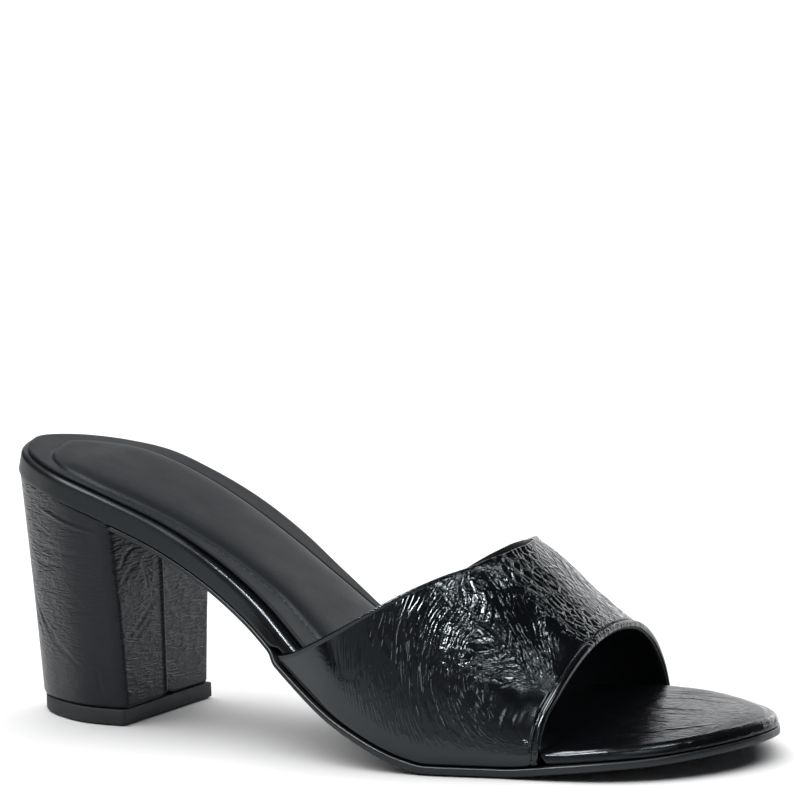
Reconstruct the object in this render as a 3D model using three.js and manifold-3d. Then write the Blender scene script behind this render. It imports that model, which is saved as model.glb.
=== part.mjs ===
// An open-toe mule on a covered block heel: outsole, wrapped footbed, sock, upper, heel and top lift.
// Millimetres, +Z up, +X from the heel to the toe, +Y to the inner (medial) side of this right shoe.
import * as THREE from "three";
import Module from "manifold-3d";
import { mergeVertices } from "three/addons/utils/BufferGeometryUtils.js";

const wasm = await Module();
wasm.setup();

// Driving dimensions
const SHOE = {
  length: 228, // back of the seat to the tip of the toe, along the floor
  ballWidth: 80, // footbed across the ball
  heelRise: 71.1, // seat over the tread, at the back
  toeSpring: 5.9, // tip of the toe over the tread
  instep: 50, // crest of the upper over the outsole, where the topline crosses it
};
const CLEARANCE = 0.3; // between two pieces that are cemented together

const BOARD = {
  seatThickness: 6.3, // the wrapped band round the seat
  treadThickness: 3.3,
  edgeRadius: 2.4, // rounding of the wrap along its upper edge
  footRadius: 0.5, // rounding of the wrap along its lower edge
};
const OUTSOLE = {
  shankThickness: 1.2,
  treadThickness: 2.1,
  edgeRadius: 0.5,
  breastGap: 0.3, // from the front face of the heel
};
const SOCK = {
  inset: 2.6, // from the edge of the footbed
  frontEnd: 150, // from the back of the seat, under the upper
  cornerRadius: 9,
  edgeThickness: 0.8,
  edgeRounding: 0.3,
  padding: 1.1, // more than the edge, in the middle
};

// Section of the padding, from the flat stitched margin to the middle: distance from the sock's edge as a
// share of the ball width, and height as a share of the padding
const PADDING = [
  { from: 0.056, raised: 0 },
  { from: 0.11, raised: 0.75 },
  { from: 0.16, raised: 1 },
];
const UPPER = {
  wall: 1.6,
  margin: 7, // lasting margin turned in under the footbed
  beadWidth: 2.2, // binding along the toe opening
  beadHeight: 0.6,
  foldWidth: 1.2, // folded edge of the topline
};

// Sections of the two finished edges: distance from the edge as a share of its width, height as shares of the
// wall and of the bead
const FOLD = [
  { from: 0, wall: 0.35 },
  { from: 0.3, wall: 0.85 },
  { from: 1, wall: 1 },
];
const BEAD = [
  { from: 1.15, wall: 1, raised: 0 },
  { from: 1, wall: 1, raised: 0.85 },
  { from: 0.5, wall: 1, raised: 1 },
  { from: 0, wall: 0.6, raised: 0 },
];
const HEEL = {
  breast: 42.8, // front face, from the back of the seat
  baseLength: 37.8,
  baseWidth: 44.3,
  inset: 0.7, // heel cover behind the band of the footbed
  cornerRadius: 3,
  waist: 0.5, // hollow of the back and sides between seat and lift
  seamStep: 0.8, // the cover's outer end lies over its inner end, down the front face
  seamShift: -1, // from the middle of the front face
};
const LIFT = {
  thickness: 4.2,
  overhang: 0.5,
};

const WELD = 1e-3; // corners that lie closer are one

// How finely the curved faces are cut
const CUTS = {
  betweenRows: 2, // of the plan
  corner: 3,
  downHeel: 7,
  aroundFoot: 44,
  acrossBand: 11,
  alongRoom: 24, // the room for a lasting margin
};
const SETTLING = 8; // rounds that it takes to find the station over a place
const REACH = 1; // distance that directions are measured over

// A short table: its first column says where each row lies, and at() follows another column from row to row.
// The curve is smooth, and never swings past the rows on either side of it.
class Table {
  constructor(columns, rows) {
    this.columns = columns;
    this.places = rows.map((row) => row[0]);
    this.rows = rows;
    this.slopes = columns.map((_, column) => this.slopesOf(column));
  }

  slopesOf(column) {
    const rise = [];
    for (let i = 0; i + 1 < this.rows.length; i++) {
      const run = this.places[i + 1] - this.places[i];
      rise.push((this.rows[i + 1][column] - this.rows[i][column]) / run);
    }
    return this.rows.map((_, i) => {
      const before = rise[Math.max(i - 1, 0)];
      const after = rise[Math.min(i, rise.length - 1)];
      return before * after > 0 ? (2 * before * after) / (before + after) : 0;
    });
  }

  at(name, place) {
    const column = this.columns.indexOf(name);
    const last = this.rows.length - 1;
    const here = THREE.MathUtils.clamp(place, this.places[0], this.places[last]);
    const next = Math.max(1, this.places.findIndex((value) => value >= here));
    const run = this.places[next] - this.places[next - 1];
    const t = (here - this.places[next - 1]) / run;
    const from = this.rows[next - 1][column];
    const to = this.rows[next][column];
    const leaving = this.slopes[column][next - 1] * run;
    const arriving = this.slopes[column][next] * run;
    return (
      from +
      t * leaving +
      t * t * (3 * (to - from) - 2 * leaving - arriving) +
      t * t * t * (leaving + arriving - 2 * (to - from))
    );
  }
}

// Plan of the footbed: along is a share of the length, the half widths are shares of the ball width.
const PLAN = new Table(
  ["along", "lateral", "medial"],
  [
    [0, 0, 0],
    [0.012, -0.118, 0.125],
    [0.035, -0.212, 0.225],
    [0.07, -0.29, 0.305],
    [0.123, -0.358, 0.352],
    [0.193, -0.356, 0.35],
    [0.263, -0.325, 0.341],
    [0.333, -0.314, 0.319],
    [0.404, -0.34, 0.278],
    [0.474, -0.408, 0.266],
    [0.544, -0.485, 0.325],
    [0.58, -0.511, 0.366],
    [0.614, -0.525, 0.41],
    [0.642, -0.523, 0.445],
    [0.67, -0.515, 0.475],
    [0.712, -0.487, 0.51],
    [0.755, -0.457, 0.535],
    [0.811, -0.428, 0.55],
    [0.868, -0.39, 0.535],
    [0.917, -0.315, 0.455],
    [0.957, -0.205, 0.343],
    [0.986, -0.07, 0.22],
    [1, 0.1, 0.1],
  ],
);

// Side view: how much of the heel rise and of the toe spring the footbed has, and how far its layers have
// gone from the thickness at the seat to that at the tread.
const PROFILE = new Table(
  ["along", "rise", "spring", "thinned"],
  [
    [0, 1, 0, 0],
    [0.035, 0.972, 0, 0],
    [0.07, 0.945, 0, 0],
    [0.123, 0.905, 0, 0],
    [0.193, 0.827, 0, 0],
    [0.263, 0.727, 0, 0.01],
    [0.333, 0.602, 0, 0.03],
    [0.404, 0.456, 0, 0.08],
    [0.474, 0.298, 0, 0.2],
    [0.544, 0.16, 0, 0.5],
    [0.58, 0.101, 0, 0.7],
    [0.614, 0.052, 0, 0.86],
    [0.642, 0.019, 0, 0.95],
    [0.67, 0, 0, 1],
    [0.755, 0, 0, 1],
    [0.811, 0, 0.2, 1],
    [0.868, 0, 0.42, 1],
    [0.917, 0, 0.58, 1],
    [0.957, 0, 0.77, 1],
    [1, 0, 1, 1],
  ],
);

// How far the outsole stands out past the footbed, as a share of the upper's wall.
const LIP = new Table(
  ["along", "out"],
  [
    [0.2, 0],
    [0.44, 0.1],
    [0.465, 1.45],
    [0.8, 1.45],
    [0.86, 1],
    [0.93, 0.5],
    [1, 0],
  ],
);

// The last: crest of the instep over the upper's foot as a share of the instep. The crest's shift to the
// medial side and its breadth are shares of the ball width.
const INSTEP = new Table(
  ["along", "crest", "shift", "breadth"],
  [
    [0.42, 1.5, 0.02, 0.46],
    [0.5, 1.36, 0.03, 0.46],
    [0.57, 1.24, 0.035, 0.45],
    [0.64, 1.11, 0.04, 0.42],
    [0.694, 0.99, 0.045, 0.38],
    [0.75, 0.74, 0.075, 0.37],
    [0.804, 0.52, 0.105, 0.36],
    [0.86, 0.38, 0.11, 0.34],
  ],
);

// Edges of the upper: around runs from its lateral foot (0) over the crest (0.5) to its medial foot (1), and
// the topline and the toe opening lie at these shares of the length.
const EDGES = new Table(
  ["around", "topline", "opening"],
  [
    [0, 0.446, 0.8],
    [0.03, 0.478, 0.8],
    [0.11, 0.544, 0.8],
    [0.18, 0.59, 0.802],
    [0.29, 0.647, 0.802],
    [0.345, 0.672, 0.802],
    [0.41, 0.69, 0.803],
    [0.48, 0.696, 0.804],
    [0.55, 0.691, 0.804],
    [0.65, 0.66, 0.8],
    [0.75, 0.612, 0.795],
    [0.86, 0.547, 0.791],
    [0.94, 0.497, 0.79],
    [1, 0.455, 0.79],
  ],
);

// The footbed in side view
const alongOf = (x) => x / SHOE.length;

function boardThickness(x) {
  const thinned = PROFILE.at("thinned", alongOf(x));
  return THREE.MathUtils.lerp(BOARD.seatThickness, BOARD.treadThickness, thinned);
}

function outsoleThickness(x) {
  const thinned = PROFILE.at("thinned", alongOf(x));
  return THREE.MathUtils.lerp(OUTSOLE.shankThickness, OUTSOLE.treadThickness, thinned);
}

const outsoleTop = (x) => boardThickness(x) + CLEARANCE;
const outsoleBottom = (x) => outsoleTop(x) + outsoleThickness(x);
const marginTop = (x) => outsoleTop(x) - CLEARANCE - UPPER.wall;
const heelTop = (x) => boardThickness(x) + CLEARANCE;

function footbedHeight(x) {
  const tread = OUTSOLE.treadThickness + CLEARANCE + BOARD.treadThickness;
  const rise = SHOE.heelRise * PROFILE.at("rise", alongOf(x));
  return tread + rise + SHOE.toeSpring * PROFILE.at("spring", alongOf(x));
}

// Direction square to the footbed, in side view
function footbedNormal(x) {
  const slope = (footbedHeight(x + REACH) - footbedHeight(x - REACH)) / (2 * REACH);
  return new THREE.Vector2(-slope, 1).normalize();
}

// The point that lies a depth under the footbed's upper face, square to it; a negative depth lies over it.
function sink(point, depth) {
  const normal = footbedNormal(point.x);
  return new THREE.Vector3(point.x - normal.x * depth, point.y, footbedHeight(point.x) - normal.y * depth);
}

// The station whose layer, at a depth that may change along the shoe, lies straight over a place on the floor
function stationOver(x, depthAt) {
  let station = x;
  for (let i = 0; i < SETTLING; i++) station = x + footbedNormal(station).x * depthAt(station);
  return station;
}

function layerHeight(x, depthAt) {
  const station = stationOver(x, depthAt);
  return footbedHeight(station) - footbedNormal(station).y * depthAt(station);
}

// The plan of the footbed as a closed curve, from the back of the seat round the lateral side to the toe and
// home along the medial side. Each point on one side has its partner on the other.
function outlineCurve() {
  const point = (row, side) => {
    const width = PLAN.rows[row][PLAN.columns.indexOf(side)];
    return new THREE.Vector3(PLAN.places[row] * SHOE.length, width * SHOE.ballWidth, 0);
  };
  const last = PLAN.rows.length - 1;
  const points = [point(0, "lateral")];
  for (let row = 1; row <= last; row++) points.push(point(row, "lateral"));
  for (let row = last - 1; row > 0; row--) points.push(point(row, "medial"));
  return new THREE.CatmullRomCurve3(points, true, "centripetal");
}

const OUTLINE_HALF = (PLAN.rows.length - 1) * CUTS.betweenRows;
const OUTLINE_COUNT = 2 * OUTLINE_HALF;
const CURVE = outlineCurve();
const OUTLINE = Array.from({ length: OUTLINE_COUNT }, (_, i) => CURVE.getPoint(i / OUTLINE_COUNT));

// The outline moved in by an inset in plan, which may change along the shoe
function insetOutline(inset) {
  return OUTLINE.map((point, i) => {
    const before = OUTLINE[(i + OUTLINE_COUNT - 1) % OUTLINE_COUNT];
    const after = OUTLINE[(i + 1) % OUTLINE_COUNT];
    const run = after.clone().sub(before).normalize();
    const inward = new THREE.Vector3(-run.y, run.x, 0);
    return point.clone().addScaledVector(inward, inset(point.x));
  });
}

const JOINT = 1.5; // least distance of an outline point from a corner that is cut in

// The half of a ring from seat to toe on one side, as places that grow in x
function sideOf(ring, side) {
  if (side === "lateral") return ring.slice(0, OUTLINE_HALF + 1);
  return [ring[0], ...ring.slice(OUTLINE_HALF).reverse()];
}

// Half width of a side at a distance from the back
function widthAt(line, x) {
  const next = Math.max(1, line.findIndex((point) => point.x >= x));
  const [from, to] = [line[next - 1], line[next]];
  return THREE.MathUtils.mapLinear(x, from.x, to.x, from.y, to.y);
}

// A ring cut off square at a place, with rounded corners there. keep says which part stays, "rear" or
// "front", and joint is where the outline's own points stop, short of the corners.
function cutRing(ring, { place, radius, keep, joint }) {
  const sign = keep === "rear" ? 1 : -1;
  const sides = ["lateral", "medial"];
  const plain = sides.map((side) => sideOf(OUTLINE, side));
  const stays = (i) => plain.every((line) => sign * (joint - line[i].x) > 0);
  const lines = sides.map((side) => {
    const whole = sideOf(ring, side);
    const kept = whole.filter((_, i) => stays(i));
    const corner = [];
    for (let i = 0; i <= CUTS.corner; i++) {
      const turn = (i / CUTS.corner) * (Math.PI / 2);
      const x = place - sign * radius * (1 - Math.sin(turn));
      const y = widthAt(whole, x) - Math.sign(widthAt(whole, x)) * radius * (1 - Math.cos(turn));
      corner.push(new THREE.Vector3(x, y, 0));
    }
    return keep === "rear" ? [...kept, ...corner] : [...corner.reverse(), ...kept];
  });
  const [lateral, medial] = lines;
  const shared = keep === "rear" ? 0 : lateral.length - 1;
  const homeward = medial.filter((_, i) => i !== shared).reverse();
  return [...lateral, ...homeward];
}

// The points of a ring's two sides that face each other: rear and front say whether the ring ends there in
// one point of its own, and skip leaves out the pairs of a rounded front.
function pairsOf(count, { rear = true, front = true, skip = 0 } = {}) {
  const pairs = [];
  const singles = (rear ? 1 : 0) + (front ? 1 : 0);
  const rows = (count - singles) / 2;
  for (let i = 0; i < rows - skip; i++) {
    const lateral = i + (rear ? 1 : 0);
    pairs.push([lateral, count - 1 - i]);
  }
  return pairs;
}

// Triangles that close a ring: quads between the partners, and what lies past the first and last pair
function capFaces(ring, pairs) {
  const faces = [];
  for (let k = 0; k + 1 < pairs.length; k++) {
    const [[a, b], [c, d]] = [pairs[k], pairs[k + 1]];
    faces.push([a, c, d], [a, d, b]);
  }
  const run = (from, to) => {
    const indices = [from];
    for (let i = from; i !== to; ) {
      i = (i + 1) % ring.length;
      indices.push(i);
    }
    return indices;
  };
  const [first, last] = [pairs[0], pairs[pairs.length - 1]];
  for (const end of [run(first[1], first[0]), run(last[0], last[1])]) {
    if (end.length < 3) continue;
    const contour = end.map((i) => new THREE.Vector2(ring[i].x, ring[i].y));
    for (const face of THREE.ShapeUtils.triangulateShape(contour, [])) faces.push(face.map((i) => end[i]));
  }
  return faces;
}

// A closed solid from rings stacked from the bottom up, or from sections set one behind the other
function stacked(rings, pairs) {
  const count = rings[0].length;
  const positions = rings.flat().flatMap((point) => [point.x, point.y, point.z]);
  const index = [];
  for (let level = 0; level + 1 < rings.length; level++) {
    for (let i = 0; i < count; i++) {
      const next = (i + 1) % count;
      const [a, b] = [level * count + i, level * count + next];
      index.push(a, b, b + count, a, b + count, a + count);
    }
  }
  const top = (rings.length - 1) * count;
  for (const [a, b, c] of capFaces(rings[0], pairs)) index.push(a, c, b);
  for (const [a, b, c] of capFaces(rings[rings.length - 1], pairs)) index.push(top + a, top + b, top + c);
  const geometry = new THREE.BufferGeometry();
  geometry.setAttribute("position", new THREE.Float32BufferAttribute(positions, 3));
  geometry.setIndex(index);
  geometry.computeVertexNormals();
  return geometry;
}

// Steps of a quarter round: how far in and how far down each lies, from the top edge to the side
function quarterRound(radius, steps) {
  return Array.from({ length: steps + 1 }, (_, i) => {
    const turn = (i / steps) * (Math.PI / 2);
    return { inset: radius * (1 - Math.sin(turn)), depth: radius * (1 - Math.cos(turn)) };
  });
}

// A surface with its shared corners joined, and without the triangles that have shrunk to a line
function welded(geometry) {
  const bare = new THREE.BufferGeometry();
  bare.setAttribute("position", geometry.getAttribute("position"));
  bare.setIndex(geometry.index);
  const merged = mergeVertices(bare, WELD);
  const old = merged.index.array;
  const index = [];
  for (let i = 0; i < old.length; i += 3) {
    const [a, b, c] = [old[i], old[i + 1], old[i + 2]];
    if (a !== b && b !== c && c !== a) index.push(a, b, c);
  }
  merged.setIndex(index);
  merged.computeVertexNormals();
  return merged;
}

// Booleans
function toSolid(geometry) {
  const merged = welded(geometry);
  return new wasm.Manifold(
    new wasm.Mesh({
      numProp: 3,
      vertProperties: merged.attributes.position.array,
      triVerts: new Uint32Array(merged.index.array),
    }),
  );
}

function toGeometry(solid) {
  const mesh = solid.getMesh();
  const geometry = new THREE.BufferGeometry();
  geometry.setAttribute("position", new THREE.BufferAttribute(mesh.vertProperties, 3));
  geometry.setIndex(new THREE.BufferAttribute(mesh.triVerts, 1));
  geometry.computeVertexNormals();
  return geometry;
}

// Outsole: thin leather-board under the shank, thicker at the tread, with a lip round the upper
function outsoleGeometry() {
  const lip = (x) => -UPPER.wall * LIP.at("out", alongOf(x));
  const rearEnd = stationOver(HEEL.breast + HEEL.seamStep + OUTSOLE.breastGap, outsoleBottom);
  const level = (inset, depthOf) => {
    const outline = insetOutline((x) => lip(x) + inset);
    const ring = cutRing(outline, { place: rearEnd, radius: 0, keep: "front", joint: rearEnd + JOINT });
    return ring.map((point) => sink(point, depthOf(point.x)));
  };
  const rounding = quarterRound(OUTSOLE.edgeRadius, 2);
  const lower = rounding.map(({ inset, depth }) => level(inset, (x) => outsoleBottom(x) - depth));
  const upper = rounding.map(({ inset, depth }) => level(inset, (x) => outsoleTop(x) + depth)).reverse();
  const rings = [...lower, ...upper];
  return stacked(rings, pairsOf(rings[0].length, { rear: false }));
}

// Where a side's lasting margin lies under the footbed: a bar that the footbed's underside makes room for
function marginRoom(side) {
  const [around, outward] = side === "lateral" ? [0, -1] : [1, 1];
  const from = EDGES.at("topline", around) * SHOE.length - CLEARANCE;
  const to = EDGES.at("opening", around) * SHOE.length + CLEARANCE;
  const sections = [];
  for (let i = 0; i <= CUTS.alongRoom; i++) {
    const x = THREE.MathUtils.lerp(from, to, i / CUTS.alongRoom);
    const inner = wallFoot(side, x) - outward * (UPPER.margin + CLEARANCE);
    const outer = wallFoot(side, x) + outward * UPPER.wall;
    const high = layerHeight(x, marginTop) + CLEARANCE;
    const low = layerHeight(x, outsoleTop) - UPPER.wall;
    const section = [
      new THREE.Vector3(x, inner, low),
      new THREE.Vector3(x, outer, low),
      new THREE.Vector3(x, outer, high),
      new THREE.Vector3(x, inner, high),
    ];
    sections.push(side === "lateral" ? section.reverse() : section);
  }
  return stacked(sections, pairsOf(sections[0].length, { rear: false, front: false }));
}

// Footbed: the board and its patent wrap, a thick band round the seat that thins towards the toe
function footbedGeometry() {
  const level = (inset, depthOf) => insetOutline(() => inset).map((point) => sink(point, depthOf(point.x)));
  const foot = quarterRound(BOARD.footRadius, 2);
  const lower = foot.map(({ inset, depth }) => level(inset, (x) => boardThickness(x) - depth));
  const edge = quarterRound(BOARD.edgeRadius, 4);
  const upper = edge.map(({ inset, depth }) => level(inset, () => depth)).reverse();
  const rings = [...lower, ...upper];
  const board = stacked(rings, pairsOf(rings[0].length));
  const rooms = ["lateral", "medial"].map((side) => toSolid(marginRoom(side)));
  return toGeometry(rooms.reduce((solid, room) => solid.subtract(room), toSolid(board)));
}

// Sock: a thin lining with a flat stitched margin and a padded middle
function sockGeometry() {
  const slope = PADDING.map(({ from, raised }) => {
    return { inset: from * SHOE.ballWidth, height: raised * SOCK.padding };
  });
  const deepest = slope[slope.length - 1].inset;
  const level = (inset, height) => {
    const ring = cutRing(insetOutline(() => SOCK.inset + inset), {
      place: SOCK.frontEnd - inset,
      radius: Math.max(SOCK.cornerRadius - inset, SOCK.edgeThickness),
      keep: "rear",
      joint: SOCK.frontEnd - Math.max(SOCK.cornerRadius, deepest) - JOINT,
    });
    return ring.map((point) => sink(point, -height));
  };
  const top = CLEARANCE + SOCK.edgeThickness;
  const rings = [
    level(0, CLEARANCE),
    level(0, top - SOCK.edgeRounding),
    level(SOCK.edgeRounding, top),
    ...slope.map(({ inset, height }) => level(inset, top + height)),
  ];
  return stacked(rings, pairsOf(rings[0].length, { front: false, skip: CUTS.corner }));
}

// The upper's inner face over the last: a point by its place along the shoe and around the foot
function lastPoint(along, around) {
  const x = along * SHOE.length;
  const base = layerHeight(x, marginTop);
  const lateral = wallFoot("lateral", x);
  const medial = wallFoot("medial", x);
  const turn = around * Math.PI;
  const crest = SHOE.ballWidth * INSTEP.at("shift", along);
  const breadth = SHOE.ballWidth * INSTEP.at("breadth", along);
  const out = Math.cos(turn);
  const reach = around < 0.5 ? crest - lateral : medial - crest;
  const y = crest - breadth * (out - out ** 3) - reach * out ** 3;
  const height = SHOE.instep * INSTEP.at("crest", along);
  return new THREE.Vector3(x, y, base + height * Math.sin(turn));
}

// Where the upper's inner face stands at a place: clear of the footbed's upper and lower edge there
const CLEAR_OUTLINE = insetOutline(() => -CLEARANCE);
function wallFoot(side, x) {
  const line = sideOf(CLEAR_OUTLINE, side);
  const widths = [x, stationOver(x, marginTop)].map((place) => widthAt(line, place));
  return side === "lateral" ? Math.min(...widths) : Math.max(...widths);
}

// Outward direction of the last at a point
function lastNormal(along, around) {
  const reach = REACH / SHOE.length;
  const on = (a, b) => lastPoint(along + a, THREE.MathUtils.clamp(around + b, 0, 1));
  const forward = on(reach, 0).sub(on(-reach, 0));
  const over = on(0, reach).sub(on(0, -reach));
  return over.cross(forward).normalize().negate();
}

// The wall's outline between topline and toe opening, as shares of the way and heights over the inner face:
// out along the outside, with a fold at the topline and a bead at the opening, and home along the inside
function wallProfile(way) {
  const fold = FOLD.map(({ from, wall }) => [(from * UPPER.foldWidth) / way, wall * UPPER.wall]);
  const bead = BEAD.map(({ from, wall, raised }) => [
    1 - (from * UPPER.beadWidth) / way,
    wall * UPPER.wall + raised * UPPER.beadHeight,
  ]);
  const outside = [...fold];
  for (let i = 1; i < CUTS.acrossBand; i++) {
    const share = THREE.MathUtils.lerp(fold[fold.length - 1][0], bead[0][0], i / CUTS.acrossBand);
    outside.push([share, UPPER.wall]);
  }
  outside.push(...bead);
  const inside = outside.map(([share]) => [share, 0]).reverse();
  return [...outside, ...inside];
}

// Upper: one band over the foot, its two feet turned in under the footbed
function upperGeometry() {
  const sectionAt = (around) => {
    const rear = EDGES.at("topline", around);
    const front = EDGES.at("opening", around);
    const way = lastPoint(rear, around).distanceTo(lastPoint(front, around));
    return wallProfile(way).map(([share, height]) => {
      const along = THREE.MathUtils.lerp(rear, front, share);
      return { point: lastPoint(along, around), normal: lastNormal(along, around), height };
    });
  };
  const turned = (around, turn, margin) => {
    const outward = around === 0 ? -1 : 1;
    return sectionAt(around).map(({ point, height }) => {
      const out = new THREE.Vector3(0, outward * Math.cos(turn), -Math.sin(turn));
      const flat = turn > 0 ? Math.min(height, UPPER.wall) : height;
      return point.addScaledVector(out, flat).add(new THREE.Vector3(0, -outward * margin, 0));
    });
  };
  const foot = (around) => [
    turned(around, Math.PI / 2, UPPER.margin),
    turned(around, Math.PI / 2, 0),
    turned(around, Math.PI / 4, 0),
    turned(around, 0, 0),
  ];
  const sections = [...foot(0)];
  for (let i = 1; i < CUTS.aroundFoot; i++) {
    const share = i / CUTS.aroundFoot;
    sections.push(sectionAt(share).map(({ point, normal, height }) => point.addScaledVector(normal, height)));
  }
  sections.push(...foot(1).reverse());
  return welded(stacked(sections, pairsOf(sections[0].length, { rear: false, front: false })));
}

// Heel in plan, as a share of the way down from the seat (0) to the lift (1), grown by an overhang
function heelRing(down, overhang) {
  const seat = cutRing(insetOutline(() => HEEL.inset), {
    place: HEEL.breast,
    radius: HEEL.cornerRadius,
    keep: "rear",
    joint: HEEL.breast - HEEL.cornerRadius - JOINT,
  });
  const seatWidth = Math.max(...seat.map((p) => p.y)) - Math.min(...seat.map((p) => p.y));
  const seatLength = HEEL.breast - HEEL.inset;
  const hollow = HEEL.waist * Math.sin(down * Math.PI);
  const length = THREE.MathUtils.lerp(seatLength, HEEL.baseLength, down) - hollow;
  const width = THREE.MathUtils.lerp(seatWidth, HEEL.baseWidth, down) - 2 * hollow;
  const [stretchX, stretchY] = [(length + 2 * overhang) / seatLength, (width + 2 * overhang) / seatWidth];
  const front = HEEL.breast + overhang;
  return seat.map((p) => new THREE.Vector3(front - (HEEL.breast - p.x) * stretchX, p.y * stretchY, 0));
}

// The cover's seam down the front face: the lateral end of the cover lies over the medial end
function withSeam(ring) {
  const front = Math.max(...ring.map((p) => p.x));
  const corner = ring.findIndex((p) => p.x > front - WELD);
  const raised = ring.map((p, i) => {
    const share = THREE.MathUtils.smoothstep(p.x, front - HEEL.cornerRadius, front);
    return i <= corner ? p.clone().setX(p.x + HEEL.seamStep * share) : p.clone();
  });
  const seam = [
    new THREE.Vector3(front + HEEL.seamStep, HEEL.seamShift, 0),
    new THREE.Vector3(front, HEEL.seamShift + HEEL.seamStep / 2, 0),
  ];
  return [...raised.slice(0, corner + 1), ...seam, ...raised.slice(corner + 1)];
}

function heelGeometry() {
  const base = LIFT.thickness + CLEARANCE;
  const rings = [];
  for (let i = CUTS.downHeel; i >= 0; i--) {
    const down = i / CUTS.downHeel;
    const ring = withSeam(heelRing(down, 0)).map((p) => {
      const seat = layerHeight(p.x, heelTop);
      return p.setZ(THREE.MathUtils.lerp(seat, base, down));
    });
    rings.push(ring);
  }
  const count = rings[0].length;
  return stacked(rings, pairsOf(count - 2, { front: false, skip: CUTS.corner }).map(([a, b]) => [a, b + 2]));
}

// Top lift: the rubber tread of the heel, a little proud of the cover
function liftGeometry() {
  const ring = heelRing(1, LIFT.overhang);
  const rings = [0, LIFT.thickness].map((z) => ring.map((p) => p.clone().setZ(z)));
  return stacked(rings, pairsOf(ring.length, { front: false, skip: CUTS.corner }));
}

const FINISHES = {
  patent: { color: 0x0b0c0e, roughness: 0.16, metalness: 0 },
  lining: { color: 0x15171c, roughness: 0.55, metalness: 0 },
  sole: { color: 0x101113, roughness: 0.42, metalness: 0 },
  rubber: { color: 0x161617, roughness: 0.8, metalness: 0 },
};

function piece(name, geometry, finish) {
  const mesh = new THREE.Mesh(geometry, new THREE.MeshStandardMaterial(FINISHES[finish]));
  mesh.name = name;
  return mesh;
}

const mule = new THREE.Group();
mule.name = "open_toe_mule";
mule.add(
  piece("outsole", outsoleGeometry(), "sole"),
  piece("midsole", footbedGeometry(), "patent"),
  piece("insole_sock", sockGeometry(), "lining"),
  piece("upper", upperGeometry(), "patent"),
  piece("heel_block", heelGeometry(), "patent"),
  piece("top_lift", liftGeometry(), "rubber"),
);

// The origin lies on the floor, in the middle of the shoe's footprint
const middle = new THREE.Box3().setFromObject(mule).getCenter(new THREE.Vector3());
for (const mesh of mule.children) mesh.geometry.translate(-middle.x, -middle.y, 0);

export default mule;
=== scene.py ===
"""Open-toe mule on a covered block heel, dressed for a studio picture.

Forms are worked out in millimetres from the back of the seat: +X to the toe, +Y to the inner side of this
right shoe, +Z up. Meshes are placed in the part's own frame, in metres.
"""
import logging
import math
from dataclasses import dataclass
from enum import Enum
from typing import Callable, Union

import bmesh
import bpy
import numpy as np
from mathutils import Matrix, Quaternion, Vector


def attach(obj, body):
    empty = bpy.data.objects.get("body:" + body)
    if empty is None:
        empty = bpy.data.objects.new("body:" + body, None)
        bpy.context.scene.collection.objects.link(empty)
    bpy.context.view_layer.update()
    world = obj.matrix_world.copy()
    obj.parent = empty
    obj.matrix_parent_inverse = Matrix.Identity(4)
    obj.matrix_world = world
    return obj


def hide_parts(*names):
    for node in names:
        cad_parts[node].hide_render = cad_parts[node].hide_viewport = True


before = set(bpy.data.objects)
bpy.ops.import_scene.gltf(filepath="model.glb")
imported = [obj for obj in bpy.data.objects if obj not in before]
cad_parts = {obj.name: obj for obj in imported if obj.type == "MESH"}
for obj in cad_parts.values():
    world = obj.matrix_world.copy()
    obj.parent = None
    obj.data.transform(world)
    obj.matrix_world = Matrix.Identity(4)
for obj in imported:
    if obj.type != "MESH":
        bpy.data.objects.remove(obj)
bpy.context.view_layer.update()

# The part's origin as it lies from the back of the seat, in millimetres.
MIDDLE = np.array([113.8171888589859, 0.9682445526123047, 0.0])
MILLIMETRE = 0.001
# Millimetres under which corners are joined, and under which slivers are dissolved.
WELD = 1e-4
SLIVER = 1e-5

Array = np.ndarray
Mesh = bmesh.types.BMesh
Material = bpy.types.Material
Line = tuple[tuple[float, float], ...]
Colour = tuple[float, float, float]
Depth = Callable[[Array], Array]
Inset = float | Depth
Row = tuple[Array, Array | float, float]
Value = Union["Wire", float, int, tuple[float, ...]]

log = logging.getLogger("mule")


class Side(Enum):
    """A side of the right shoe, with its sign along Y."""

    LATERAL = -1
    MEDIAL = 1


class Keep(Enum):
    """The part of a piece that stays where its outline is cut off square."""

    ALL = "all"
    REAR = "rear"
    FRONT = "front"


def blend(start: Array, end: Array, share: Array) -> Array:
    """Go from one value to another by a share of the way."""
    return start + (end - start) * share


def eased(value: Array, start: float, end: float) -> Array:
    """Rise smoothly from 0 at one value to 1 at another."""
    share = np.clip((value - start) / (end - start), 0, 1)
    return share * share * (3 - 2 * share)


def swell(distance: Array, width: float) -> Array:
    """A soft ridge of height 1 that dies away over a width on either side."""
    return np.exp(-((distance / width) ** 2))


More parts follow.
